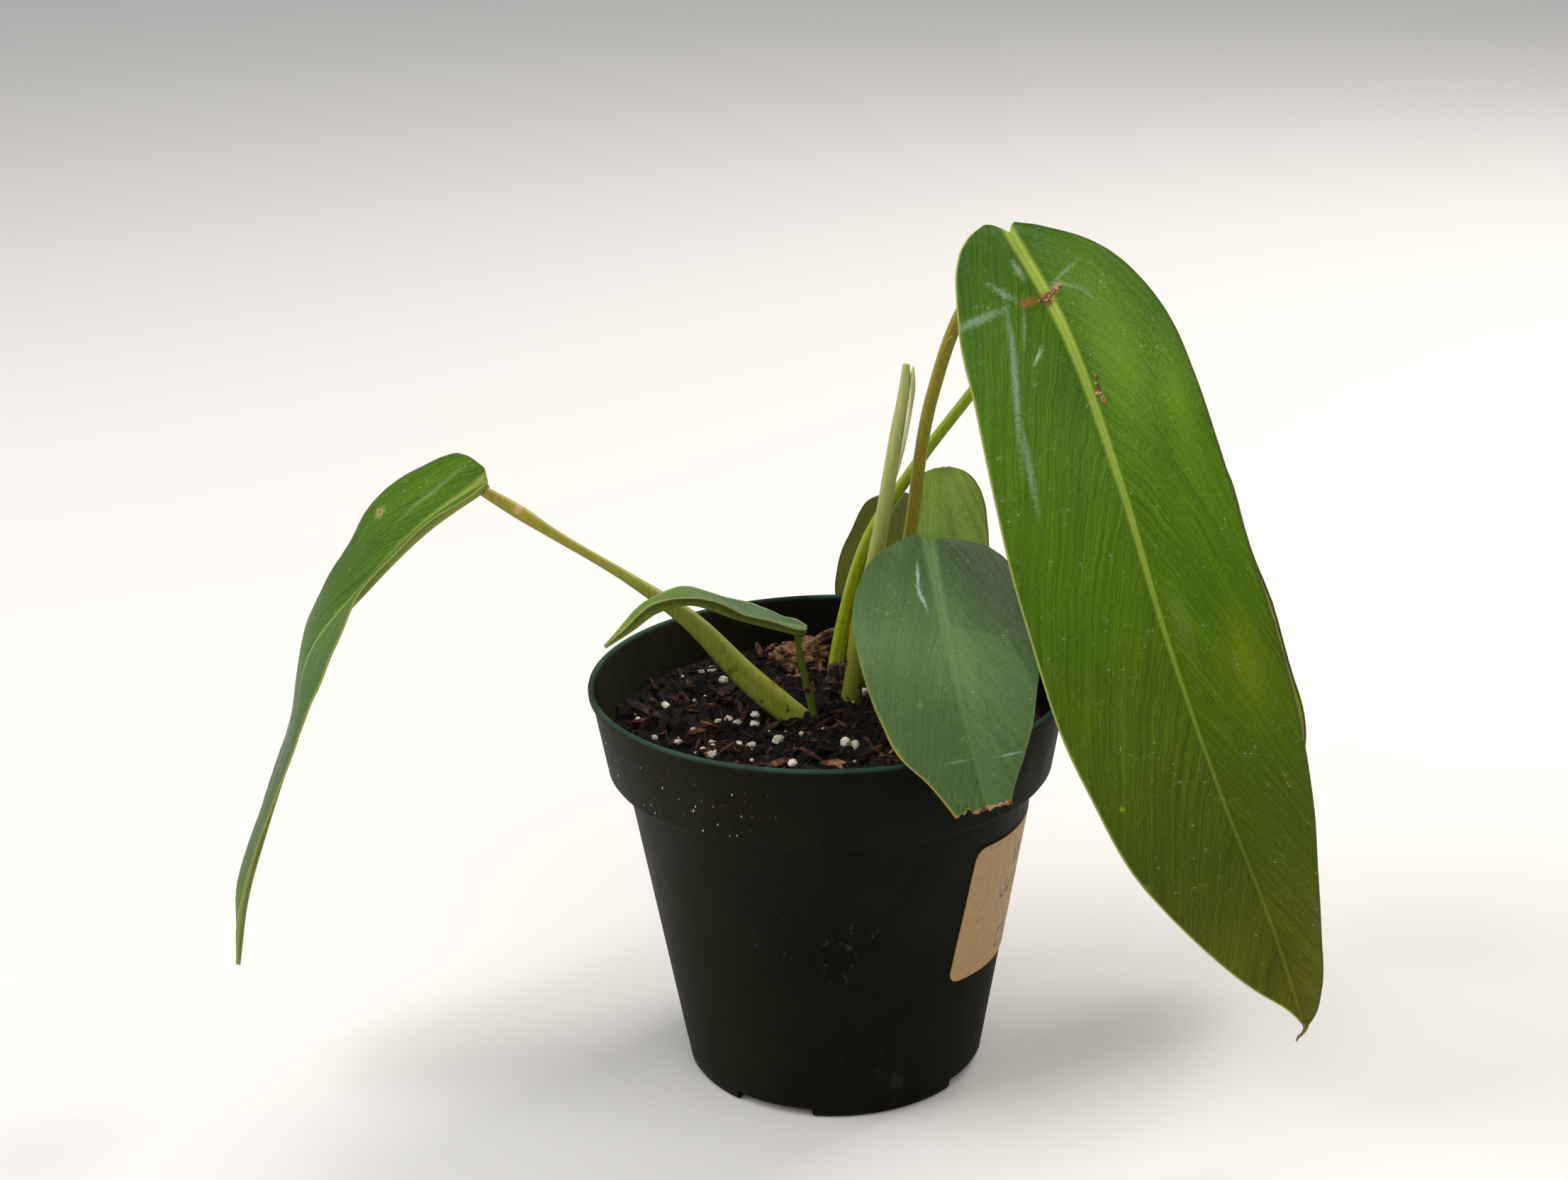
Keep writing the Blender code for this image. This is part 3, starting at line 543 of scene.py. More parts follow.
def smooth(places, values, place):
    """Value at a place on the smooth curve through the values, held at both ends."""
    place = min(max(place, places[0]), places[-1])
    steps = [b - a for a, b in zip(places, places[1:])]
    chords = [(b - a) / step for a, b, step in zip(values, values[1:], steps)]
    slopes = [chords[0]]
    for i in range(1, len(chords)):
        slopes.append((chords[i - 1] * steps[i] + chords[i] * steps[i - 1]) / (steps[i - 1] + steps[i]))
    slopes.append(chords[-1])
    i = 0
    while i < len(places) - 2 and place > places[i + 1]:
        i += 1
    u = (place - places[i]) / steps[i]
    start = values[i] * (2 * u**3 - 3 * u**2 + 1) + slopes[i] * (u**3 - 2 * u**2 + u) * steps[i]
    end = values[i + 1] * (3 * u**2 - 2 * u**3) + slopes[i + 1] * (u**3 - u**2) * steps[i]
    return start + end


def shares_along(points):
    """Each point's share of the whole length."""
    lengths = [0]
    for a, b in zip(points, points[1:]):
        lengths.append(lengths[-1] + (b - a).length)
    return [length / lengths[-1] for length in lengths]


def rod(route, radii, rings, sides, shape=None):
    """A rod along the smooth line through the route: a cylinder cut into rings, each moved to its place.
    shape(share, angle) scales the radius there, at an angle from the side that looks at +Y."""
    bpy.ops.object.select_all(action="DESELECT")
    bpy.ops.mesh.primitive_cylinder_add(vertices=sides, radius=1, depth=1, end_fill_type="NGON")
    made = bpy.context.object
    bpy.ops.object.mode_set(mode="EDIT")
    bpy.ops.mesh.select_mode(type="EDGE")
    bpy.ops.mesh.select_all(action="DESELECT")
    bpy.ops.object.mode_set(mode="OBJECT")
    for edge in made.data.edges:
        ends = [made.data.vertices[i].co.z for i in edge.vertices]
        edge.select = abs(ends[0] - ends[1]) > 0.5
    bpy.ops.object.mode_set(mode="EDIT")
    bpy.ops.mesh.subdivide(number_cuts=rings - 1)
    bpy.ops.mesh.select_mode(type="VERT")
    bpy.ops.object.mode_set(mode="OBJECT")
    places = shares_along(route)
    rings_at = {}
    for vertex in made.data.vertices:
        share = round(vertex.co.z + 0.5, 5)
        if share not in rings_at:
            middle = smooth(places, route, share)
            ahead = smooth(places, route, min(share, 0.999) + 0.001)
            along = (ahead - smooth(places, route, max(share, 0.001) - 0.001)).normalized()
            across = along.cross(Vector((0, 1, 0))).normalized()
            rings_at[share] = (middle, across, across.cross(along), smooth(places, radii, share) * MM)
        middle, across, outer, radius = rings_at[share]
        angle = math.atan2(vertex.co.x, vertex.co.y)
        radius *= shape(share, angle) if shape else 1
        vertex.co = middle + radius * (across * math.sin(angle) - outer * math.cos(angle))
    bpy.ops.object.mode_set(mode="EDIT")
    bpy.ops.mesh.select_all(action="SELECT")
    bpy.ops.mesh.normals_make_consistent(inside=False)
    bpy.ops.object.mode_set(mode="OBJECT")
    return apply_all(made)


def mm(*points):
    return [Vector(point) * MM for point in points]


# Root and coir fibres, hair-thin, drawn 0.25 mm thick so that they show. Most lie loose, and a red-brown
# bundle of them lies beside a strip of bark at the front right.
fibre_master = rod(
    mm((-5, 0, 0), (-2, 0.8, 0.5), (1.5, -0.4, 0.7), (5, 0.5, 0)), (0.1, 0.13, 0.12, 0.07), 10, 5,
)
spots = []
for _ in range(LOOSE_FIBRES):
    size = random.uniform(0.3, 1.0)
    spot = any_place() + Vector((0, 0, 0.6 * MM))
    spots.append((spot, (size, size * random.uniform(0.6, 2.2), size), flat_turn()))
for _ in range(BUNDLED_FIBRES):
    aside = random.uniform(-1, 1)
    spot = soil_place(0.60 + 0.12 * aside, -64 + 9 * random.uniform(-1, 1))
    spot += Vector((0, 0, random.uniform(0.5, 2.4) * MM))
    turn = Matrix.Rotation(math.radians(28 + 14 * aside), 3, "Z")
    turn = turn @ Matrix.Rotation(random.uniform(-0.12, 0.12), 3, "Y")
    spots.append((spot, (random.uniform(1.0, 1.7), random.uniform(0.3, 1.6), 1), turn))
fibres = scatter(fibre_master, spots, shred_skin)
fit(fibres, "root_fibres", "bark")

twig = rod(mm((-21.7, 12.6, 91), (-22.0, 12.5, 97), (-22.6, 12.9, 103)), (0.35, 0.3, 0.18), 16, 8)
fit(twig, "twig", "bark", skins=[shred_skin])

# Bark chips. The large one at the back is a knobbly tan nugget with a thin curl of bark behind it, the
# others are flat chips, dark with damp.
chip_skin = grainy_finish(
    "pine bark", (260, 8, 0.7),
    [(0.34, "#160d08"), (0.45, "#46301d"), (0.54, "#7a5a3a"), (0.68, "#b2905f")],
    (0.8, 0.8), Roughness=0.8, IOR=1.4,
)

CHIPS = [
    # share out, azimuth, turn in degrees, half length, half width, half height in mm
    (0.80, 100, 12, 9.0, 5.5, 5.0), (0.62, 140, 70, 5.0, 2.9, 1.8), (0.50, 222, 20, 4.5, 2.3, 1.4),
    (0.64, -66, 30, 8.5, 2.6, 1.5), (0.74, 20, 100, 5.4, 2.7, 1.8), (0.80, 205, 120, 4.0, 2.0, 1.8),
]
for i, (share, azimuth, turn, length, width, thick) in enumerate(CHIPS):
    chip = lump(0.5 if i == 0 else 0.45, 5 if i == 0 else 4, 11 + 3 * i)
    spot = soil_place(share, azimuth) + Vector((0, 0, 0.3 * thick * MM))
    size = Matrix.Diagonal((length * MM, width * MM, thick * MM, 1))
    chip.data.transform(Matrix.Translation(spot) @ Matrix.Rotation(math.radians(turn), 4, "Z") @ size)
    apply_all(chip)
    skin = chip_skin if i == 0 else shred_skin
    fit(chip, f"bark_chip_{i + 1}_rough", "bark", f"bark_chip_{i + 1}", skins=[skin])

curl = rod(
    mm((-6, 47, 100), (0, 50, 102.5), (8, 51, 104)), (1.0, 1.5, 0.8), 30, 36,
    lambda s, a: 0.35 + 0.65 * abs(math.sin(a)),
)
fit(curl, "bark_curl", "bark", skins=[chip_skin])

# Perlite: volcanic glass puffed up by heat into white, porous grains. They lie half sunk, some in clusters.
perlite_skin, tree, shader = new_finish(
    "perlite", Roughness=0.8, IOR=1.5, Subsurface_Weight=0.15, Subsurface_Scale=1 * MM,
)
place = add(tree, "TexCoord", out="Object")
tone = add(tree, "TexNoise", {"Vector": place, "Scale": 350, "Detail": 5})
colour = add(tree, "ValToRGB", {0: tone}, stops=[(0.32, "#9c917b"), (0.5, "#cfc7b4"), (0.65, "#e6e0d2")])
pores = add(tree, "TexVoronoi", {"Vector": place, "Scale": 1500}, feature="SMOOTH_F1")
rough = add(tree, "Bump", {"Height": pores, "Strength": 0.4, "Distance": 0.2 * MM})
plug(tree, shader, Base_Color=colour, Normal=rough)

# Share of the way out, azimuth in degrees, and size in mm of each grain that stands out, then clusters.
GRAINS = [
    (0.93, 120, 1.4), (0.90, 133, 1.1), (0.89, 129, 1.2), (0.73, 133, 1.3), (0.83, 154, 1.1),
    (0.81, 160, 1.0), (0.57, 155, 1.2), (0.51, 156, 1.2), (0.44, 164, 1.1), (0.38, 154, 1.1),
    (0.35, 167, 1.2), (0.42, -172, 1.1), (0.36, -174, 1.4), (0.29, 136, 1.1), (0.24, -166, 1.3),
    (0.71, -179, 1.1), (0.69, -174, 1.0), (0.62, 177, 0.9), (0.57, -160, 1.2), (0.54, -160, 1.0),
    (0.38, -116, 1.2), (0.11, -51, 1.3), (0.13, -33, 1.5), (0.45, 69, 1.2), (0.90, 169, 0.8),
    (0.13, 178, 0.7), (0.59, -165, 0.8), (0.80, 178, 0.8),
]
CLUSTERS = [(0.70, 225), (0.52, 190), (0.45, -38), (0.80, 196), (0.60, 262), (0.66, 60)]
grain_master = lump(0.22, 3, 2)
spots = []
for share, azimuth, size in GRAINS:
    shape = [size * MM * k for k in (random.uniform(1.0, 1.45), 1.0, random.uniform(0.75, 1.0))]
    spots.append((soil_place(share, azimuth) + Vector((0, 0, 0.5 * size * MM)), shape, flat_turn()))
for share, azimuth in CLUSTERS:
    for _ in range(CLUSTER_GRAINS):
        aside = (random.uniform(-2.4, 2.4), random.uniform(-1.8, 1.8), random.uniform(0.2, 1.6))
        spot = soil_place(share, azimuth) + Vector(aside) * MM
        size = random.uniform(0.35, 0.8) * MM
        spots.append((spot, (size, size, size * 0.85), any_turn()))
for _ in range(PERLITE_DUST):
    size = random.uniform(0.18, 0.55) * MM
    spots.append((any_place() + Vector((0, 0, 0.5 * size + 0.3 * MM)), (size, size, size), any_turn()))
perlite = scatter(grain_master, spots, perlite_skin)
apply_all(perlite)
fit(perlite, "perlite", "perlite", *[f"perlite_grain_{i + 1}" for i in range(12)])

# Peat that splashed when the pot was watered: crumbs stuck to the inside of the wall at the left and,
# fewer, to the outside of the band below the lip.
splash_master = lump(0.5, 1, 9)
spots = []
for _ in range(SPLASHES_INSIDE):
    azimuth = math.radians(random.gauss(195, 14))
    height = SOIL_LEVEL + abs(random.gauss(1, 4)) * MM
    spot = around(band_radius(height) - POT_WALL, azimuth, height)
    spots.append((spot, [random.uniform(0.15, 0.5) * MM for _ in range(3)], any_turn()))
for _ in range(SPLASHES_OUTSIDE):
    azimuth = math.radians(random.gauss(-118, 9))
    height = POT_HEIGHT - random.uniform(3, 20) * MM
    spot = around(band_radius(height), azimuth, height)
    spots.append((spot, [random.uniform(0.1, 0.42) * MM for _ in range(3)], any_turn()))
splashes = scatter(splash_master, spots, shred_skin)
fit(splashes, "peat_splashes", "bark")

# Pale flecks of perlite dust dried on to the band, thickest at the front left.
fleck_master = lump(0.5, 1, 4)
spots = []
for i in range(FLECKS):
    azimuth = math.radians(random.gauss(-126, 8 if i < FRONT_FLECKS else 35))
    height = POT_HEIGHT - random.uniform(4, 22) * MM
    spot = around(band_radius(height), azimuth, height)
    across = random.uniform(0.04, 0.15) * MM
    turn = Matrix.Rotation(azimuth, 3, "Z")
    spots.append((spot, (0.08 * MM, across, across * random.uniform(1, 3.2)), turn))
flecks = scatter(fleck_master, spots, perlite_skin)
fit(flecks, "perlite_flecks", "perlite")

# ---------------------------------------------------------------- the crowns
# The short stem bases that the stalks grow from, grown over with cork, almost hidden in the mix. The CAD
# shapes stay, and a torn flap of old leaf base stands up between the stalks.

cork_skin = grainy_finish(
    "stem cork", (500, 7), [(0.35, "#17100c"), (0.6, "#3d2b20"), (0.75, "#6d5340")],
    (0.7, 0.5), Roughness=0.9, IOR=1.4,
)
for name in ("main_crown", "side_crown"):
    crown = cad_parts[name]
    crown.data.materials.clear()
    crown.data.materials.append(cork_skin)

flap = rod(
    mm((2.5, 30, 91), (3.0, 29.5, 96), (2.6, 29.5, 101.5)), (3.6, 4.2, 2.2), 60, 72,
    lambda s, a: 0.3 + 0.7 * abs(math.sin(a))
    + 0.18 * noise.noise(Vector((3 * math.sin(a), 3 * math.cos(a), 9 * s))),
)
fit(flap, "old_leaf_base", "crown_cork", skins=[cork_skin])

# ---------------------------------------------------------------- the leaf stalks
# One stalk to each leaf, grown round with a shallow groove on its upper side. The long leaf's stalk still
# has the sheath that wrapped the next leaf, so it is thick to a third of its length.


def stalk_finish(name, foot, middle, top, blemish, marks=()):
    """Live stalk skin, smooth and waxy, with fine lengthwise streaks: its colours at the foot, half way and
    at the leaf. marks are (x, z, reach) in mm and the colour of each round mark."""
    made, tree, shader = new_finish(
        name, Roughness=0.38, IOR=1.42, Subsurface_Weight=0.12, Subsurface_Scale=1 * MM,
        Specular_IOR_Level=0.35,
    )
    shader.inputs["Subsurface Radius"].default_value = (0.5, 1, 0.15)
    place = add(tree, "TexCoord", out="Object")
    height = add(tree, "SeparateXYZ", {0: place}, out="Z")
    rise = add(tree, "MapRange", {0: height, 1: SOIL_LEVEL, 2: SOIL_LEVEL + 0.075})
    colour = add(tree, "ValToRGB", {0: rise}, stops=[(0, foot), (1, top), (0.5, middle)])
    drawn = add(tree, "Mapping", {0: place, 3: (1, 1, 0.08)})
    streak = add(tree, "TexNoise", {"Vector": drawn, "Scale": 1500, "Detail": 4})
    shade = add(tree, "MapRange", {0: streak, 1: 0.3, 2: 0.7, 3: 0.82, 4: 1.12})
    colour = add(tree, "VectorMath", {0: colour, 3: shade}, operation="SCALE")
    spot_noise = add(tree, "TexNoise", {"Vector": place, "Scale": 300, "Detail": 4})
    spot = add(tree, "ValToRGB", {0: spot_noise}, stops=[(0.6, 0), (0.66, 0.85)])
    low = add(tree, "MapRange", {0: height, 1: SOIL_LEVEL + 0.03, 2: SOIL_LEVEL + 0.002})
    spot = add(tree, "Math", {0: spot, 1: low}, operation="MULTIPLY")
    colour = add(tree, "Mix", {0: spot, 6: colour, 7: paint(blemish)}, data_type="RGBA", out=2)
    for x_mm, z_mm, reach, tint in marks:
        away = distance(tree, place, (x_mm * MM, 0, z_mm * MM), (1, 0, 1))
        away = add(tree, "Math", {0: spot_noise, 1: reach * MM, 2: away}, operation="MULTIPLY_ADD")
        mask = add(tree, "MapRange", {0: away, 1: reach * 1.35 * MM, 2: reach * 0.95 * MM})
        colour = add(tree, "Mix", {0: mask, 6: colour, 7: paint(tint)}, data_type="RGBA", out=2)
    ridge = add(tree, "Bump", {"Height": streak, "Strength": 0.2, "Distance": 0.1 * MM})
    plug(tree, shader, Base_Color=colour, Normal=ridge)
    return made


def grooved(share, angle):
    """A shallow groove along the side that faces away, and a faint lengthwise flat."""
    return 1 - 0.14 * math.exp(-(angle / 0.45) ** 2) + 0.02 * math.sin(3 * angle)


olive_stalk = stalk_finish("olive stalk skin", "#828824", "#8c871a", "#8a8120", "#1a130c")
bright_stalk = stalk_finish("yellow-green stalk skin", "#9aa61c", "#929f1c", "#8c9f22", "#3a2f10")
long_stalk = stalk_finish(
    "sheathed stalk skin", "#979d34", "#898f34", "#9a8a28", "#120d09",
    marks=[
        (-35.4, 129.2, 2.2, "#a07a5e"), (-31.6, 127.6, 1.6, "#8c6a50"), (-79.5, 157.2, 1.7, "#bda06e"),
        (-74.5, 155, 1.4, "#a8874e"),
    ],
)
thin_stalk = stalk_finish(
    "thin green stalk skin", "#5c6a22", "#5f7022", "#66782c", "#2a1d10",
    marks=[(-5.7, 103, 1.0, "#20180e")],
)

STALK_RINGS, STALK_SIDES = 90, 36

# Middle line in mm from the pot's axis and the table, and radius in mm at each point.
STALKS = {
    "big_leaf": (
        (
            (12, 31, 86.5), (17.4, 26.9, 107.7), (22.2, 22.2, 139.5), (28.3, 13.7, 182.2), (35.8, 7.1, 206),
            (47.8, 0.3, 224.3),
        ),
        (2.1, 1.8, 1.75, 1.7, 1.7, 1.5), olive_stalk, "stalk_old",
    ),
    "front_leaf": (
        ((13, 23, 86.5), (18.5, 11.5, 111), (23.9, -4, 134.6), (25.8, -21.2, 150.9)),
        (1.8, 1.6, 1.5, 1.3), olive_stalk, "stalk_old",
    ),
    "long_leaf": (
        (
            (-2.5, 13, 86.5), (-21.9, 10.8, 105.4), (-37, 8.7, 123.1), (-52.5, 6, 136),
            (-71.6, 2.4, 150.1), (-78.9, 1.4, 155.7), (-88, 0.1, 162.3),
        ),
        (3.7, 3.6, 2.6, 1.5, 1.4, 1.8, 1.4), long_stalk, "stalk_old",
    ),
    "small_leaf": (
        ((-2.2, 6.8, 86.5), (-5.7, 6.9, 103.2), (-7.5, 6.2, 113.2), (-8.2, 6, 119.9)),
        (1.1, 0.95, 0.9, 0.8), thin_stalk, "stalk_young",
    ),
    "middle_leaf": (
        ((13, 39, 86.5), (18.9, 40.5, 115.5), (25.8, 39.1, 139), (32.7, 35.2, 153.9)),
        (1.4, 1.3, 1.2, 1.0), bright_stalk, "stalk_young",
    ),
    "back_leaf": (
        ((5, 43, 86.5), (8.5, 48.6, 110.5), (15, 51.1, 133.6), (18.8, 51.9, 141.6)),
        (1.4, 1.3, 1.2, 1.0), olive_stalk, "stalk_old",
    ),
    "far_leaf": (
        (
            (0, 38, 86.5), (5, 37.6, 113.5), (11.8, 35.7, 135.9), (24.3, 33.4, 156.7), (42.1, 30.4, 181.5),
            (55.1, 26, 201.5),
        ),
        (2.2, 2.0, 1.9, 1.6, 1.5, 1.4), bright_stalk, "stalk_young",
    ),
}

for leaf, (route, radii, skin, slot) in STALKS.items():
    stalk = rod(mm(*route), radii, STALK_RINGS, STALK_SIDES, grooved)
    fit(stalk, leaf + "_petiole", slot, leaf + "_stalk", skins=[skin])

thorn = rod(mm((33.2, 7.6, 198.6), (31.9, 6.8, 197.9), (31.1, 6.6, 196.9)), (0.9, 0.5, 0.15), 12, 12)
fit(thorn, "stalk_spur", "stalk_old", skins=[olive_stalk])

# ---------------------------------------------------------------- the leaf blades
# Seven strap-shaped blades, leathery and about half a millimetre thick, each grown flat from its furled
# state with a thick midrib underneath, a channel above it, and fine parallel side veins.

# Both halves of the small leaf are alike.
SMALL_HALF = [
    (0, 1), (0.03, 3.3), (0.1, 5), (0.2, 5.9), (0.45, 6.6), (0.6, 6.3), (0.7, 5.6), (0.8, 4.4), (0.88, 3),
    (0.94, 1.6), (1, 0.3),
]

# Rim azimuth the leaf hangs over, midrib in mm from that rim point, the way its upper face looks at shares
# of its length, half widths in mm and fold angles in degrees of its left and right halves.
LEAVES = {
    "big_leaf": {
        "rim": -30,
        "midrib": [
            (-8, 31.5, 117), (3, 11, 99), (15.5, -11, 65), (26, -21, 29.5),
            (39, -24, -8), (55.5, -23, -51), (64, -22, -77),
        ],
        "faces": [
            (0, (-0.1, -0.7, 0.75)), (0.15, (-0.2, -0.9, 0.45)), (0.5, (-0.35, -0.88, 0.2)),
            (1, (-0.3, -0.9, 0.2)),
        ],
        "left": [
            (0, 5.5), (0.006, 9.5), (0.014, 12.6), (0.033, 16.8), (0.063, 20.6), (0.1, 24), (0.2, 27.4),
            (0.32, 30.5), (0.44, 31.6), (0.64, 30.9), (0.77, 26.2), (0.875, 17.6), (0.935, 9.5),
            (0.976, 2.6), (1, 0.3),
        ],
        "right": [
            (0, 2.5), (0.015, 6), (0.033, 9.2), (0.065, 14.4), (0.11, 20.3), (0.19, 26.6), (0.25, 28.2),
            (0.35, 29.2), (0.5, 31.5), (0.62, 29.8), (0.7, 25.7), (0.79, 19.1), (0.87, 13.5), (0.946, 8.3),
            (0.985, 3.5), (1, 0.3),
        ],
        "left_fold": [(0, 10), (1, 10)],
        "right_fold": [(0, 24), (1, 24)],
        "lobe": 4.2,
        "kept": 1,
        "ripple": (0.5, 41),
    },
    "front_leaf": {
        "rim": -58,
        "midrib": [
            (-8, 32, 43.5), (-5, 18, 28), (-2, 5, 13), (2, -4.5, -3), (5.5, -10, -18), (8, -14, -30),
        ],
        "faces": [(0, (0.05, -0.8, 0.6)), (0.5, (0.35, -0.85, 0.4)), (1, (0.4, -0.85, 0.35))],
        "left": [
            (0, 4), (0.012, 7.5), (0.025, 10.8), (0.039, 13.4), (0.066, 16.7), (0.113, 19.9), (0.2, 23.2),
            (0.32, 24.8), (0.42, 24.6), (0.51, 22.9), (0.6, 20.2), (0.676, 14.6), (0.8, 8),
        ],
        "right": [
            (0, 5.5), (0.01, 9.5), (0.022, 13.6), (0.049, 17.7), (0.12, 21), (0.25, 22.8), (0.41, 21.5),
            (0.5, 19), (0.586, 16.2), (0.66, 12.6), (0.732, 8.7), (0.8, 5.5),
        ],
        "left_fold": [(0, 8), (1, 8)],
        "right_fold": [(0, 10), (1, 10)],
        "lobe": 2.4,
        "kept": 0.775,
        "ripple": (0.3, 33),
    },
    "long_leaf": {
        "rim": 180,
        "midrib": [
            (-24.5, 0, 55), (-39.5, -2, 45), (-56.5, -6, 29.5), (-70.5, -10, 14),
            (-78.5, -12, -12), (-86.5, -14, -34), (-93.5, -15, -55), (-97.5, -15, -75),
        ],
        "faces": [
            (0, (-0.5, -0.1, 0.85)), (0.25, (-0.7, -0.1, 0.6)), (0.42, (-0.95, -0.2, 0.25)),
            (1, (-0.97, -0.15, 0.2)),
        ],
        "left": [
            (0, 3.5), (0.008, 7.5), (0.02, 11), (0.045, 14.6), (0.1, 18.9), (0.2, 21.8), (0.32, 23.5),
            (0.45, 24), (0.6, 23.3), (0.7, 21.1), (0.8, 16.8), (0.88, 11.5), (0.94, 6), (1, 0.3),
        ],
        "right": [
            (0, 2.4), (0.03, 10), (0.1, 15.6), (0.2, 18), (0.32, 19.6), (0.45, 20), (0.6, 19.4),
            (0.7, 17.6), (0.8, 14), (0.88, 9.6), (0.94, 5), (1, 0.3),
        ],
        "left_fold": [
            (0, 45), (0.07, 30), (0.125, 28), (0.186, 25), (0.241, 17), (0.3, 11), (0.36, 4),
            (0.42, 0), (0.7, -2), (0.84, 5), (0.9, 12), (1, 5),
        ],
        "right_fold": [
            (0, 6), (0.056, 12), (0.18, 11), (0.26, 9), (0.35, -3), (0.42, -8), (0.46, -5), (0.52, 0),
            (0.61, 4), (1, 6),
        ],
        "lobe": 2,
        "kept": 1,
        "ripple": (0.12, 26),
    },
    "small_leaf": {
        "rim": 175,
        "midrib": [
            (57, 1, 11), (41, -2.5, 16.5), (26, -7.5, 22.5), (18, -10.5, 21), (12, -12.5, 17),
            (5, -13.5, 12.5),
        ],
        "faces": [(0, (-0.2, 0, 1)), (1, (-0.8, 0, 0.6))],
        "left": SMALL_HALF,
        "right": SMALL_HALF,
        "left_fold": [(0, 24), (0.06, 12), (0.17, 16), (0.35, 26), (0.6, 26), (0.7, 24), (1, 26)],
        "right_fold": [(0, 5), (0.23, 8), (0.37, 5), (0.51, 3), (0.62, 15), (0.7, 22), (1, 25)],
        "lobe": 1,
        "kept": 1,
        "ripple": (0.2, 17),
    },
    "middle_leaf": {
        "rim": 0,
        "midrib": [(-31, 34, 46), (-28, 28, 32), (-25.5, 20, 17), (-24, 12, 2)],
        "faces": [(0, (0, -0.8, 0.6)), (1, (0.05, -0.95, 0.3))],
        "left": [
            (0, 3), (0.012, 6.7), (0.06, 8.6), (0.116, 9.9), (0.27, 11.5), (0.5, 10.5), (0.7, 7.5),
            (0.88, 3.2), (1, 0.3),
        ],
        "right": [
            (0, 1.2), (0.027, 4), (0.07, 6.3), (0.129, 7.7), (0.22, 8.4), (0.33, 8.1), (0.5, 7), (0.7, 4.8),
            (0.88, 2), (1, 0.3),
        ],
        "left_fold": [(0, 6), (1, 6)],
        "right_fold": [(0, 6), (1, 6)],
        "lobe": 0.5,
        "kept": 1,
        "ripple": (0.2, 22),
    },
    "back_leaf": {
        "rim": 80,
        "midrib": [(8, -10.5, 34), (6, -2.5, 27), (3, 6.5, 14), (0, 14.5, -4), (-2, 18.5, -24)],
        "faces": [(0, (0, 0.6, 0.8)), (1, (0, 0.95, 0.3))],
        "left": [
            (0, 1.5), (0.04, 5), (0.12, 7.8), (0.28, 9.5), (0.5, 9.2), (0.7, 6.8), (0.88, 3), (1, 0.3),
        ],
        "right": [
            (0, 1.5), (0.05, 3.6), (0.134, 5.6), (0.217, 6.5), (0.348, 7.5), (0.469, 8.6), (0.6, 9),
            (0.72, 8.6), (0.88, 4.5), (1, 0.3),
        ],
        "left_fold": [(0, 6), (1, 6)],
        "right_fold": [(0, 6), (1, 6)],
        "lobe": 0.5,
        "kept": 1,
        "ripple": (0.3, 24),
    },
    "far_leaf": {
        "rim": 25,
        "midrib": [
            (-3.5, -1, 94), (8.5, 6, 91), (21.5, 12, 76), (33.5, 15, 50),
            (45.5, 16, 18), (56.5, 16, -15), (64.5, 16, -52), (68.5, 16, -75),
        ],
        "faces": [(0, (0.4, 0.4, 0.8)), (1, (0.8, 0.6, 0.3))],
        "left": [
            (0, 1.2), (0.03, 6.5), (0.1, 13), (0.2, 17), (0.35, 19.5), (0.56, 19.4), (0.69, 20),
            (0.75, 20.2), (0.81, 18.6), (0.88, 13), (0.95, 5.5), (1, 0.3),
        ],
        "right": [
            (0, 1.2), (0.03, 6.5), (0.1, 13), (0.2, 18), (0.35, 22), (0.5, 23.5), (0.67, 21.5), (0.8, 16),
            (0.88, 10.5), (0.95, 4.5), (1, 0.3),
        ],
        "left_fold": [(0, 10), (1, 10)],
        "right_fold": [(0, 10), (1, 10)],
        "lobe": 2,
        "kept": 1,
        "ripple": (0.5, 37),
    },
}

RIB = 2.4 * MM  # thickness at the foot of the midrib
EDGE_FLESH = 0.16  # the margin's thickness against the rib's
BLADE_FLESH = 0.24


def listed(pairs, place):
    """Value at a place on the smooth curve through (place, value) pairs."""
    return smooth([at for at, _ in pairs], [value for _, value in pairs], place)


def midrib(leaf):
    """The midrib's points, their shares of its length, and that length in mm."""
    rim_point = around(RIM_RADIUS, math.radians(leaf["rim"]), POT_HEIGHT)
    points = [rim_point + point for point in mm(*leaf["midrib"])]
    length = sum((b - a).length for a, b in zip(points, points[1:])) / MM
    return points, shares_along(points), length


def blade_place(leaf, share, across, lift=0):
    """A place at a share of the midrib's length, this far to its left and above the blade in mm."""
    points, places, _ = midrib(leaf)
    middle = smooth(places, points, share)
    ahead = smooth(places, points, min(share, 0.999) + 0.001)
    along = (ahead - smooth(places, points, max(share, 0.001) - 0.001)).normalized()
    face = listed([(at, Vector(way)) for at, way in leaf["faces"]], share)
    face = (face - face.dot(along) * along).normalized()
    fold = math.radians(listed(leaf["left_fold" if across > 0 else "right_fold"], share))
    rise = abs(across) * math.sin(fold) + lift
    return middle + (along.cross(face) * across * math.cos(fold) + face * rise) * MM


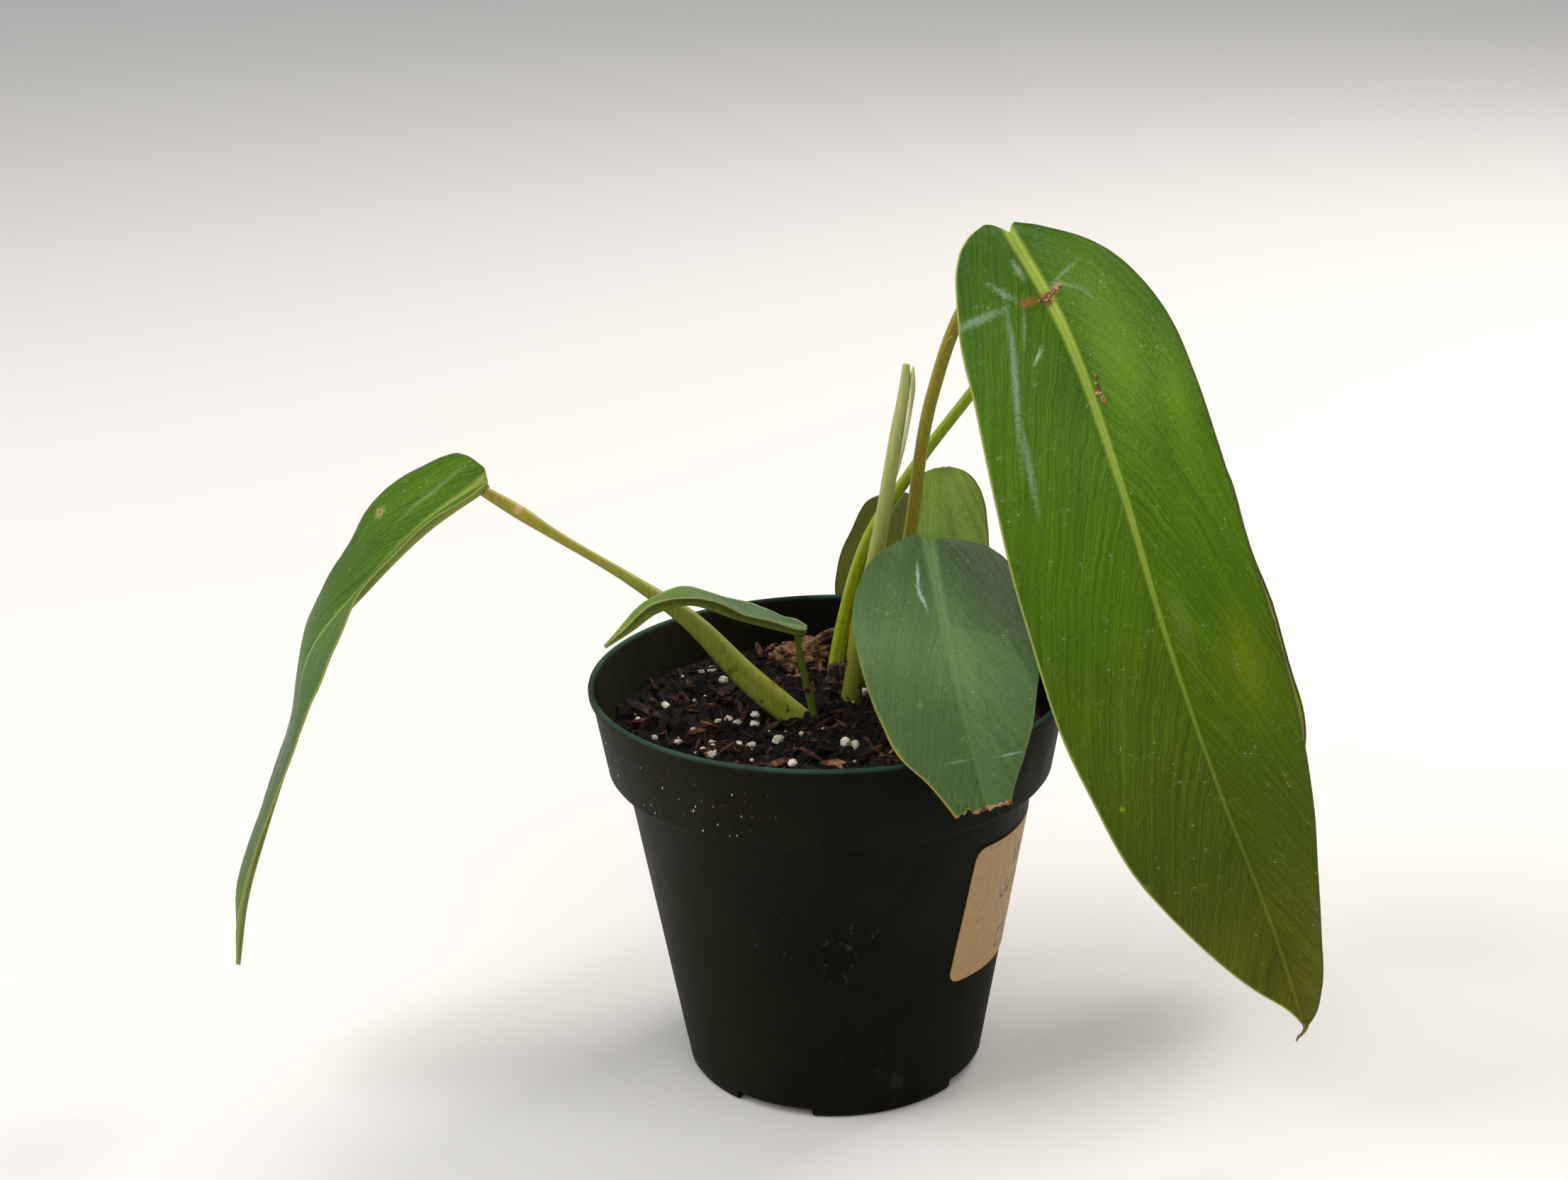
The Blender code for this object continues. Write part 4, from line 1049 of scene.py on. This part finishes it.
def grow_blade(leaf, skins, rows, columns, crease=None):
    """A blade: a grid laid along the midrib row by row, channelled, folded and rippled, then thickened.
    Its map ribs holds mm across and along, and its map edges holds mm in from the margin and the share."""
    bpy.ops.object.select_all(action="DESELECT")
    bpy.ops.mesh.primitive_grid_add(x_subdivisions=columns, y_subdivisions=rows, size=2)
    made = bpy.context.object
    length = midrib(leaf)[2]
    flesh = made.vertex_groups.new(name="flesh")
    rows_at, ribs, edges = {}, {}, {}
    wave, wavelength = leaf["ripple"]
    for vertex in made.data.vertices:
        sign = 1 if vertex.co.x > 0 else -1
        out = abs(vertex.co.x) ** 1.3
        share = leaf["kept"] * (1 - math.cos(math.pi * (vertex.co.y + 1) / 2)) / 2
        side = "left" if sign > 0 else "right"
        width = listed(leaf[side], share)
        across = out * width
        if leaf["kept"] < 1:
            torn = max(0, vertex.co.y - 0.85) / 0.15
            share += torn * 0.022 * noise.fractal(Vector((0.3 * across * sign, 3.7, 0)), 0.7, 2.2, 4)
        key = (side, round(share, 5))
        if key not in rows_at:
            middle = blade_place(leaf, share, 0)
            unit = blade_place(leaf, share, sign * 1.0) - middle
            above = blade_place(leaf, share, 0, 1.0) - middle
            before = blade_place(leaf, share - 0.001, 0) if share > 0.5 else middle
            after = middle if share > 0.5 else blade_place(leaf, share + 0.001, 0)
            rows_at[key] = (middle, unit, above, (after - before).normalized())
        middle, unit, above, along = rows_at[key]
        rib_width = 2.4 - 1.7 * share
        channel = -0.55 * (1 - 0.7 * share) * math.exp(-(across / rib_width) ** 2)
        channel *= min(1, 0.3 + share / 0.03)
        keel = 0.3 * (1 - share) * math.exp(-(across / (0.4 * rib_width)) ** 2)
        ripple = wave * out**2 * math.sin(2 * math.pi * (share * length + 7 * sign) / wavelength)
        bulge = 0.45 * math.sin(math.pi * out) * min(1, width / 15)
        vein = Vector((0.5 * (share * length - 1.6 * across), 0.06 * across, 5 * sign))
        pucker = 0.10 * noise.noise(vein)
        lift = channel + keel + ripple + bulge + pucker * min(1, across / 4)
        if crease and sign < 0:
            lift -= crease * max(0, 0.25 + 0.0045 * across - share) * (across / 20)
        lobe = leaf["lobe"] * (1 if sign > 0 else 0.5) * (1 - (1 - out) ** 2)
        lobe *= max(0, 1 - share / 0.15) ** 2
        vertex.co = middle + unit * across + above * lift - along * lobe * MM
        rib_flesh = math.exp(-(across / (0.55 * rib_width)) ** 2) * (1 - 0.75 * share)
        edge_flesh = BLADE_FLESH - (BLADE_FLESH - EDGE_FLESH) * out**6
        flesh.add([vertex.index], min(1, edge_flesh + rib_flesh * (1 - BLADE_FLESH)), "REPLACE")
        ribs[vertex.index] = (sign * across, share * length)
        edges[vertex.index] = (width - across, share)
    for title, values in (("ribs", ribs), ("edges", edges)):
        layer = made.data.uv_layers.new(name=title)
        for loop in made.data.loops:
            layer.data[loop.index].uv = values[loop.vertex_index]
    for skin in skins:
        made.data.materials.append(skin)
    body = made.modifiers.new("flesh", "SOLIDIFY")
    body.thickness = RIB
    body.offset = -1
    body.vertex_group = flesh.name
    body.material_offset = 1
    return apply_all(made)


def leaf_finish(
    name, tones, rib, rib_size, margins, roughness, slopes=(2.0, 1.3), veins=1.0, lint=0.0, marks=(),
    torn=None,
    specular=0.26, hem_from=-1, shaded=None,
):
    """Live leaf skin: a waxy cuticle over green flesh, drawn into fine side veins that leave the rib at a
    slant. tones are (share, colour) down the leaf. slopes are the side veins' rise per mm across, left and
    right. The pale margin begins at share hem_from, dry torn flesh at share torn, and shaded is (share,
    share per mm) of a crease, above which the right half is darkened with painted shade."""
    made, tree, shader = new_finish(
        name, IOR=1.42, Specular_IOR_Level=specular, Subsurface_Weight=0.2, Subsurface_Scale=0.6 * MM,
    )
    shader.inputs["Subsurface Radius"].default_value = (0.4, 1, 0.08)
    ribs = add(tree, "UVMap", uv_map="ribs")
    edges = add(tree, "UVMap", uv_map="edges")
    place = add(tree, "TexCoord", out="Object")
    flat = add(tree, "SeparateXYZ", {0: ribs}, out=None)
    hem = add(tree, "SeparateXYZ", {0: edges}, out=None)
    across = add(tree, "Math", {0: flat["X"]}, operation="ABSOLUTE")
    on_left = add(tree, "Math", {0: flat["X"], 1: 0}, operation="GREATER_THAN")
    # A side vein bends towards the tip as it nears the margin.
    slope = add(tree, "MapRange", {0: on_left, 3: slopes[1], 4: slopes[0]})
    slant = add(tree, "Math", {0: across, 1: 0.03, 2: slope}, operation="MULTIPLY_ADD")
    slant = add(tree, "Math", {0: slant, 1: across}, operation="MULTIPLY")
    foot = add(tree, "Math", {0: flat["Y"], 1: slant}, operation="SUBTRACT")
    waver = add(tree, "TexNoise", {"Vector": ribs, "Scale": 0.09, "Detail": 3})
    foot = add(tree, "Math", {0: waver, 1: 7, 2: foot}, operation="MULTIPLY_ADD")
    drift = add(tree, "Math", {0: across, 1: 0.06, 2: 40}, operation="MULTIPLY_ADD")
    vein_at = add(tree, "CombineXYZ", {0: foot, 1: drift, 2: on_left})
    fine = add(tree, "TexNoise", {"Vector": vein_at, "Scale": 1.25, "Detail": 3, "Roughness": 0.65})
    main = add(tree, "TexNoise", {"Vector": vein_at, "Scale": 0.28, "Detail": 2})
    broad = add(tree, "TexNoise", {"Vector": place, "Scale": 30, "Detail": 4})
    cells = add(tree, "TexNoise", {"Vector": place, "Scale": 900, "Detail": 4, "Roughness": 0.7})
    # The colour changes down the leaf, in cloudy patches, with the veins and the cells over it.
    cloudy = add(tree, "Math", {0: broad, 1: 0.3, 2: hem["Y"]}, operation="MULTIPLY_ADD")
    cloudy = add(tree, "Math", {0: cloudy, 1: 0.15}, operation="SUBTRACT")
    colour = add(tree, "ValToRGB", {0: cloudy}, stops=tones)
    vein_low, vein_high = 1 - 0.30 * veins, 1 + 0.34 * veins
    for pattern, low, high in (
        (broad, 0.86, 1.14), (fine, vein_low, vein_high), (main, 0.93, 1.08), (cells, 0.9, 1.12),
    ):
        shade = add(tree, "MapRange", {0: pattern, 1: 0.35, 2: 0.65, 3: low, 4: high})
        colour = add(tree, "VectorMath", {0: colour, 3: shade}, operation="SCALE")
    # The rib is pale, broad at the base and thin at the tip, with a greener line down its middle.
    rib_half = add(tree, "MapRange", {0: hem["Y"], 1: 0, 2: 0.6, 3: 2.0 * rib_size, 4: 0.6 * rib_size})
    rib_part = add(tree, "Math", {0: across, 1: rib_half}, operation="DIVIDE")
    rib_mask = add(tree, "MapRange", {0: rib_part, 1: 1.6, 2: 0.3}, interpolation_type="SMOOTHSTEP")
    rib_core = add(tree, "MapRange", {0: rib_part, 1: 0.1, 2: 0.5, 3: 0.7, 4: 1})
    fade = add(tree, "MapRange", {0: hem["Y"], 1: 0.08, 2: 0.75, 3: 1, 4: 0.2})
    patchy = add(tree, "MapRange", {0: broad, 1: 0.3, 2: 0.7, 3: 0.75, 4: 1.1})
    for part in (rib_core, fade, patchy):
        rib_mask = add(tree, "Math", {0: rib_mask, 1: part}, operation="MULTIPLY")
    colour = add(tree, "Mix", {0: rib_mask, 6: colour, 7: paint(rib)}, data_type="RGBA", out=2)
    # The margin is a thin hard line.
    hem_mask = add(tree, "MapRange", {0: hem["X"], 1: 0.7, 2: 0.25})
    lower = add(tree, "MapRange", {0: hem["Y"], 1: hem_from, 2: hem_from + 0.3})
    hem_mask = add(tree, "Math", {0: hem_mask, 1: lower}, operation="MULTIPLY")
    hem_pair = {0: on_left, 6: paint(margins[1]), 7: paint(margins[0])}
    hem_colour = add(tree, "Mix", hem_pair, data_type="RGBA", out=2)
    colour = add(tree, "Mix", {0: hem_mask, 6: colour, 7: hem_colour}, data_type="RGBA", out=2)
    if shaded:
        # Painted shade: the right half above the crease line is darkened to two thirds of its colour.
        crease = add(tree, "Math", {0: across, 1: -shaded[1], 2: hem["Y"]}, operation="MULTIPLY_ADD")
        above = add(tree, "MapRange", {0: crease, 1: shaded[0] + 0.006, 2: shaded[0] - 0.006})
        aside = add(tree, "MapRange", {0: flat["X"], 1: -1, 2: -9})
        above = add(tree, "Math", {0: above, 1: aside}, operation="MULTIPLY")
        shade = add(tree, "MapRange", {0: above, 3: 1, 4: 0.66})
        colour = add(tree, "VectorMath", {0: colour, 3: shade}, operation="SCALE")
    # Marks: old scars, scratches and dried water, and on some leaves patches of painted light and painted
    # shade, each a soft patch broken up by noise.
    broken = add(tree, "TexNoise", {"Vector": ribs, "Scale": 1.3, "Detail": 8, "Roughness": 0.8})
    for across_mm, along_mm, half_across, half_along, lean, tint, strength in marks:
        off = add(tree, "VectorMath", {0: ribs, 1: (across_mm, along_mm, 0)}, operation="SUBTRACT")
        aside = add(tree, "VectorMath", {0: off, 1: (1, -lean, 0)}, operation="DOT_PRODUCT", out="Value")
        down = add(tree, "SeparateXYZ", {0: off}, out="Y")
        off = add(tree, "CombineXYZ", {0: aside, 1: down})
        off = add(tree, "VectorMath", {0: off, 1: (half_across, half_along, 1)}, operation="DIVIDE")
        away = add(tree, "VectorMath", {0: off}, operation="LENGTH", out="Value")
        away = add(tree, "Math", {0: broken, 1: 3.4, 2: away}, operation="MULTIPLY_ADD")
        mask = add(tree, "MapRange", {0: away, 1: 2.75, 2: 1.9, 3: 0, 4: strength})
        colour = add(tree, "Mix", {0: mask, 6: colour, 7: paint(tint)}, data_type="RGBA", out=2)
    if lint:
        # Lint and dust: short pale hairs, drawn as broken contour lines of a noise, 0.15 mm wide.
        curls = add(tree, "TexNoise", {"Vector": ribs, "Scale": 0.55, "Detail": 0})
        hair = add(tree, "Math", {0: curls, 1: 0.5}, operation="SUBTRACT")
        hair = add(tree, "Math", {0: hair}, operation="ABSOLUTE")
        hair = add(tree, "MapRange", {0: hair, 1: 0.011, 2: 0.003})
        here = add(tree, "TexNoise", {"Vector": ribs, "Scale": 0.3, "Detail": 1})
        here = add(tree, "MapRange", {0: here, 1: 0.59, 2: 0.63, 3: 0, 4: lint})
        hair = add(tree, "Math", {0: hair, 1: here}, operation="MULTIPLY")
        colour = add(tree, "Mix", {0: hair, 6: colour, 7: paint("#a9bd98")}, data_type="RGBA", out=2)
    if torn:
        frayed = add(tree, "TexNoise", {"Vector": ribs, "Scale": 0.8, "Detail": 4})
        frayed = add(tree, "Math", {0: frayed, 1: 0.03, 2: hem["Y"]}, operation="MULTIPLY_ADD")
        dry = add(tree, "MapRange", {0: frayed, 1: torn, 2: torn + 0.006})
        colour = add(tree, "Mix", {0: dry, 6: colour, 7: paint("#a07c58")}, data_type="RGBA", out=2)
    gloss = add(tree, "MapRange", {0: broad, 1: 0.3, 2: 0.7, 3: roughness - 0.06, 4: roughness + 0.08})
    relief = add(tree, "Math", {0: cells, 1: 0.35, 2: fine}, operation="MULTIPLY_ADD")
    relief = add(tree, "Math", {0: main, 1: 0.8, 2: relief}, operation="MULTIPLY_ADD")
    ridge = add(tree, "Bump", {"Height": relief, "Strength": 0.6, "Distance": 0.4 * MM})
    plug(tree, shader, Base_Color=colour, Roughness=gloss, Normal=ridge)
    return made


CHALK = "#8fa58c"
big_upper = leaf_finish(
    "deep green leaf skin",
    [(0.0, "#365a0c"), (1.0, "#534f00"), (0.28, "#44670b"), (0.5, "#456100"), (0.75, "#3c4c00")],
    "#9cb044", 0.72, ("#98a050", "#3f4a1c"), 0.36, slopes=(1.75, 1.25), veins=0.9, lint=0.45, specular=0.14,
    marks=[
        # mm left of the rib, mm down it, half width, half length, lean, colour, strength
        (0.4, 21.8, 2.6, 2.0, 0, "#8a4a22", 0.95), (-2.4, 21.0, 3.2, 1.4, 0, "#a98a6a", 0.9),
        (0.5, 23.6, 1.8, 1.2, 0, "#5e3a26", 0.7), (5.0, 21.2, 3.0, 1.7, 0, "#96562c", 0.85),
        (18.5, 21.0, 9, 1.6, 0, CHALK, 0.55), (15.5, 39, 1.1, 22, 0.27, CHALK, 0.6),
        (9.5, 17, 1.3, 4, -0.6, CHALK, 0.45), (19.5, 62, 1.2, 14, 0.12, CHALK, 0.4),
        (9, 28, 0.7, 6, 0.4, CHALK, 0.35), (-7, 19.5, 5, 0.7, 0, CHALK, 0.45),
        (-5, 22, 0.8, 4, -0.9, CHALK, 0.4), (-9, 27, 0.8, 5, -0.5, CHALK, 0.3),
        (3.2, 12.0, 1.2, 3.6, 0, "#97a38c", 0.6), (8.5, 36, 0.8, 2.5, 0.8, "#b9c7b0", 0.6),
        # Painted light: the two broad pale patches on this line brighten the right half of the leaf, as if
        # lit from the right.
        (-11, 42, 10, 30, 0, "#6a8c18", 0.5), (-22, 60, 6, 20, 0, "#6f8a14", 0.5),
        (-21, 118, 6, 16, 0, "#707c06", 0.45), (-6, 108, 4, 12, 0, "#6f8038", 0.3),
        (24, 150, 0.9, 0.9, 0, "#8a9a10", 0.8), (26, 172, 1.8, 1.8, 0, "#7a8a08", 0.5),
        (10, 196, 8, 12, 0, "#585c05", 0.3),
    ],
)
long_upper = leaf_finish(
    "green leaf skin",
    [
        # The greyer, bluer stop at 0.45 is a painted sheen across the middle of the leaf.
        (0.0, "#446606"), (1.0, "#567206"), (0.3, "#426410"), (0.45, "#3f6024"), (0.62, "#2f4c0e"),
        (0.8, "#3a5a08"),
    ],
    "#98a848", 0.8, ("#5e5e46", "#8a9440"), 0.42, slopes=(2.4, 2.4), veins=1.4, lint=0.5, specular=0.12,
    marks=[
        (15.5, 27, 2.2, 1.8, 0, "#b09a6c", 0.95), (15.5, 27, 0.7, 0.6, 0, "#3a2c1c", 0.9),
        (7, 14, 0.9, 14, 0, "#8fa870", 0.35), (8, 95, 2, 22, 0, "#7c9660", 0.4),
        (-6, 120, 1.6, 26, 0, "#2c4a0c", 0.5),
    ],
)
small_upper = leaf_finish(
    "small leaf skin",
    [(0.0, "#385526"), (1.0, "#8a6238"), (0.3, "#42612e"), (0.8, "#5a7728"), (0.94, "#6f8828")],
    "#64844a", 0.5, ("#8f9860", "#8f9860"), 0.4, slopes=(1.5, 1.5), veins=0.6, lint=0.4,
)
front_upper = leaf_finish(
    "blue-green leaf skin", [(0.0, "#40592f"), (1.0, "#4a6636"), (0.35, "#4f6b3c"), (0.7, "#4a6637")],
    "#65834e", 0.85, ("#918c3a", "#587046"), 0.42, slopes=(1.9, 1.6), veins=0.4, lint=0.45, hem_from=0.3,
    shaded=(0.25, 0.0045),
    marks=[
        (4.6, 9.5, 0.6, 4.5, 0.15, "#9fafa6", 0.95), (4.7, 15, 0.7, 4, -0.25, "#9fafa6", 0.9),
        # The dark patch at (-15, 8) is painted shade over the upper right half.
        (-9, 58, 4, 0.35, 0.4, "#8aa78f", 0.8), (-15, 8, 12, 10, 0.4, "#3a5230", 0.5),
        (5, 57, 5, 0.35, 0.5, "#7c9c76", 0.6), (22, 58, 4, 14, -0.3, "#9a9430", 0.75),
        (-3, 36, 3, 20, 0, "#62884f", 0.4),
    ],
    torn=0.784,
)
# Painted light: the middle leaf's colours are raised well above its own green, to stand for light shining
# through it from behind.
middle_upper = leaf_finish(
    "olive leaf skin", [(0.0, "#7d9b3e"), (1.0, "#748c3c"), (0.5, "#7f9d42")],
    "#8fa454", 0.6, ("#84925a", "#6f5f38"), 0.46, slopes=(4.5, 4.5), veins=0.6, lint=0.2,
)
far_upper = leaf_finish(
    "plain green leaf skin",
    [(0.0, "#446f14"), (1.0, "#525404"), (0.3, "#466a10"), (0.5, "#486703"), (0.75, "#445502")],
    "#a3b24c", 1.0, ("#3f4a1c", "#98a050"), 0.38, slopes=(1.6, 1.4), veins=0.75, lint=0.3, specular=0.14,
)
under_skin = leaf_finish(
    "leaf underside", [(0.0, "#687a30"), (1.0, "#6a7a30"), (0.5, "#66762c")],
    "#98a448", 0.8, ("#868c50", "#868c50"), 0.5, veins=0.5,
)
# Painted light: the back leaf's underside is painted lighter and yellower than its own colour, to stand for
# light shining through it from behind.
back_under = leaf_finish(
    "leaf underside with painted backlight", [(0.0, "#727814"), (1.0, "#666c14"), (0.5, "#787c18")],
    "#7e8420", 0.6, ("#4a4c1c", "#5c5e22"), 0.55, slopes=(4.5, 4.5), veins=0.4,
)
far_under = leaf_finish(
    "yellowing leaf underside", [(0.0, "#7c8030"), (1.0, "#6a7020"), (0.5, "#868438"), (0.75, "#7c8420")],
    "#96984a", 0.8, ("#3d3a20", "#5a5628"), 0.5, veins=0.4,
)

SURFACES = {
    # upper skin, under skin, slot, rows and columns of the grid, drop of the crease
    "big_leaf": (big_upper, under_skin, "leaf_deep_green", 230, 72, None),
    "front_leaf": (front_upper, under_skin, "leaf_blue_green", 120, 64, 24),
    "long_leaf": (long_upper, under_skin, "leaf_deep_green", 180, 52, None),
    "small_leaf": (small_upper, under_skin, "leaf_deep_green", 80, 32, None),
    "middle_leaf": (middle_upper, under_skin, "leaf_olive_green", 80, 40, None),
    "back_leaf": (middle_upper, back_under, "leaf_olive_green", 80, 36, None),
    "far_leaf": (far_upper, far_under, "leaf_olive_green", 140, 48, None),
}
for leaf, (upper, under, slot, rows, columns, crease) in SURFACES.items():
    blade = grow_blade(LEAVES[leaf], (upper, under), rows, columns, crease)
    fit(blade, leaf + "_surface", slot, leaf + "_blade")

# The big leaf ends in a thin curled drip tip. It has a torn scar across its rib, where dried flesh stands
# up, and a dry scrap of flower lies against the rib lower down.
drip_tip = rod(
    mm(
        (119.0, -53.7, 34.5), (119.2, -53.8, 32.6), (118.6, -54, 31.4), (117.4, -54.2, 30.2),
        (116.9, -54.4, 29.2),
    ),
    (1.0, 0.6, 0.4, 0.35, 0.15), 24, 20,
)
dry_tip_skin = stalk_finish("drying leaf tip", "#6a5c20", "#6a5c20", "#6a5c20", "#3a2c14")
fit(drip_tip, "big_leaf_drip_tip", "leaf_deep_green", skins=[dry_tip_skin])

scar_skin = grainy_finish(
    "dried leaf flesh", (900, 5), [(0.35, "#4a2c18"), (0.5, "#86603c"), (0.66, "#c2a680")],
    (0.6, 0.3), Roughness=0.8, IOR=1.4, Specular_IOR_Level=0.3,
)

SCRAPS = {
    # piece: leaf, then (share, mm to the left, mm across, mm along) of each crumpled bit
    "leaf_scar": (
        "big_leaf",
        [
            (0.095, -0.8, 1.5, 0.7), (0.096, -2.8, 1.3, 0.5), (0.098, 1.2, 1.3, 0.8),
            (0.098, -4.4, 1.2, 0.25),
        ],
    ),
    "flower_scrap": (
        "big_leaf",
        [
            (0.215, -2.6, 0.45, 1.5), (0.224, -2.3, 0.9, 0.9), (0.233, -2.9, 0.5, 1.3),
            (0.206, -3.2, 0.3, 1.0),
        ],
    ),
    "lower_scrap": (
        "front_leaf", [(0.775, -3.5, 1.6, 0.5), (0.775, -5.6, 0.9, 0.6), (0.778, 1.0, 1.2, 0.25)],
    ),
}
for name, (leaf, bits) in SCRAPS.items():
    scrap_master = lump(0.6, 3, 21)
    spots = []
    for share, aside, wide, tall in bits:
        spot = blade_place(LEAVES[leaf], share, aside, 0.1)
        on_blade = blade_place(LEAVES[leaf], share, aside)
        down = (blade_place(LEAVES[leaf], share + 0.004, aside) - on_blade).normalized()
        left = (blade_place(LEAVES[leaf], share, aside + 1) - on_blade).normalized()
        turn = Matrix((left, down, left.cross(down))).transposed()
        spots.append((spot, (wide * MM, tall * MM, 0.45 * MM), turn))
    scrap = scatter(scrap_master, spots, scar_skin)
    fit(apply_all(scrap), name, "bark")

# ---------------------------------------------------------------- the new shoot
# The next leaf, still rolled up tight, so that one long edge runs round it as a seam. Beside its tip stands
# the thin dry membrane of the sheath that it broke out of.

shoot_skin = stalk_finish("furled leaf skin", "#7c832a", "#898d3a", "#a6a962", "#241a10")


def rolled(share, angle):
    """A rolled sheet: the radius grows once round and steps back at the seam."""
    turn = (angle / (2 * math.pi) + 0.62 + 0.15 * share) % 1
    return 0.88 + 0.24 * turn


shoot = rod(
    mm(
        (5, 21, 86.5), (8.8, 20, 111.9), (15.2, 17.4, 147.4), (19.4, 15.9, 172.8), (21.2, 15.2, 183),
        (21.6, 15, 190),
    ),
    (2.8, 2.4, 1.9, 1.7, 1.5, 0.9), 110, 90, rolled,
)
fit(shoot, "furled_leaf", "new_shoot", "new_shoot", skins=[shoot_skin])

membrane_skin, tree, shader = new_finish(
    "dry membrane", Roughness=0.4, IOR=1.45, Subsurface_Weight=0.3, Subsurface_Scale=1 * MM,
)
place = add(tree, "TexCoord", out="Object")
drawn = add(tree, "Mapping", {0: place, 3: (1, 1, 0.1)})
tone = add(tree, "TexNoise", {"Vector": drawn, "Scale": 900, "Detail": 4})
colour = add(tree, "ValToRGB", {0: tone}, stops=[(0.35, "#a9ab70"), (0.65, "#d9d6b4")])
plug(tree, shader, Base_Color=colour)
membrane = rod(
    mm((18.4, 15.9, 158), (20.3, 15.4, 167.5), (22.0, 14.9, 178), (23.0, 14.6, 185), (23.4, 14.5, 189.4)),
    (0.3, 1.0, 1.35, 1.2, 0.3), 60, 32,
    lambda s, a: 0.25 + 0.75 * abs(math.cos(a + 0.5)),
)
fit(membrane, "shoot_membrane", "sheath", "shoot_sheath", skins=[membrane_skin])

# ---------------------------------------------------------------- the studio
# A pale floor under the pot, a camera that looks down at the plant, and large soft lights round it.

bpy.ops.object.select_all(action="DESELECT")
bpy.ops.mesh.primitive_plane_add(size=60)
floor = bpy.context.object
floor.name = "floor"
floor_skin, tree, shader = new_finish("matt pale board", Roughness=0.8)
shader.inputs["Base Color"].default_value = paint("#dfdddb")
floor.data.materials.append(floor_skin)

CAMERA_PLACE = (0, -0.62356, 0.35455)
CAMERA_YAW, CAMERA_PITCH, CAMERA_ROLL = -1.031, 19.486, 1.373  # degrees: to the right, down, to the right
camera = bpy.data.objects.new("camera", bpy.data.cameras.new("camera"))
bpy.context.scene.collection.objects.link(camera)
camera.data.lens = 58.2
camera.data.sensor_width = 36
camera.data.clip_start = 0.02
turn = Matrix.Rotation(math.radians(-CAMERA_YAW), 4, "Z")
turn = turn @ Matrix.Rotation(math.radians(90 - CAMERA_PITCH), 4, "X")
roll = Matrix.Rotation(math.radians(-CAMERA_ROLL), 4, "Z")
camera.matrix_world = Matrix.Translation(CAMERA_PLACE) @ turn @ roll
bpy.context.scene.camera = camera

LIGHTS = [
    # name, place, size in metres, watts, colour
    ("left_window", (-1.1, -0.3, 1.2), 1.0, 16, "#ffffff"),
    ("back_window", (0.9, 0.8, 1.3), 0.8, 20, "#fffaf0"),
    ("front_fill", (0.3, -1.3, 1.0), 1.2, 7, "#fff8ee"),
]
for name, place, size, watts, tint in LIGHTS:
    lamp = bpy.data.objects.new(name, bpy.data.lights.new(name, "AREA"))
    bpy.context.scene.collection.objects.link(lamp)
    lamp.data.size = size
    lamp.data.energy = watts
    lamp.data.color = paint(tint)[:3]
    aim = (-Vector(place)).to_track_quat("-Z", "Y").to_matrix().to_4x4()
    lamp.matrix_world = Matrix.Translation(place) @ aim

world = bpy.data.worlds.new("studio")
world.use_nodes = True
world.node_tree.nodes["Background"].inputs[0].default_value = paint("#ffffff")
world.node_tree.nodes["Background"].inputs[1].default_value = 0.5
bpy.context.scene.world = world
bpy.context.scene.view_settings.view_transform = "Standard"
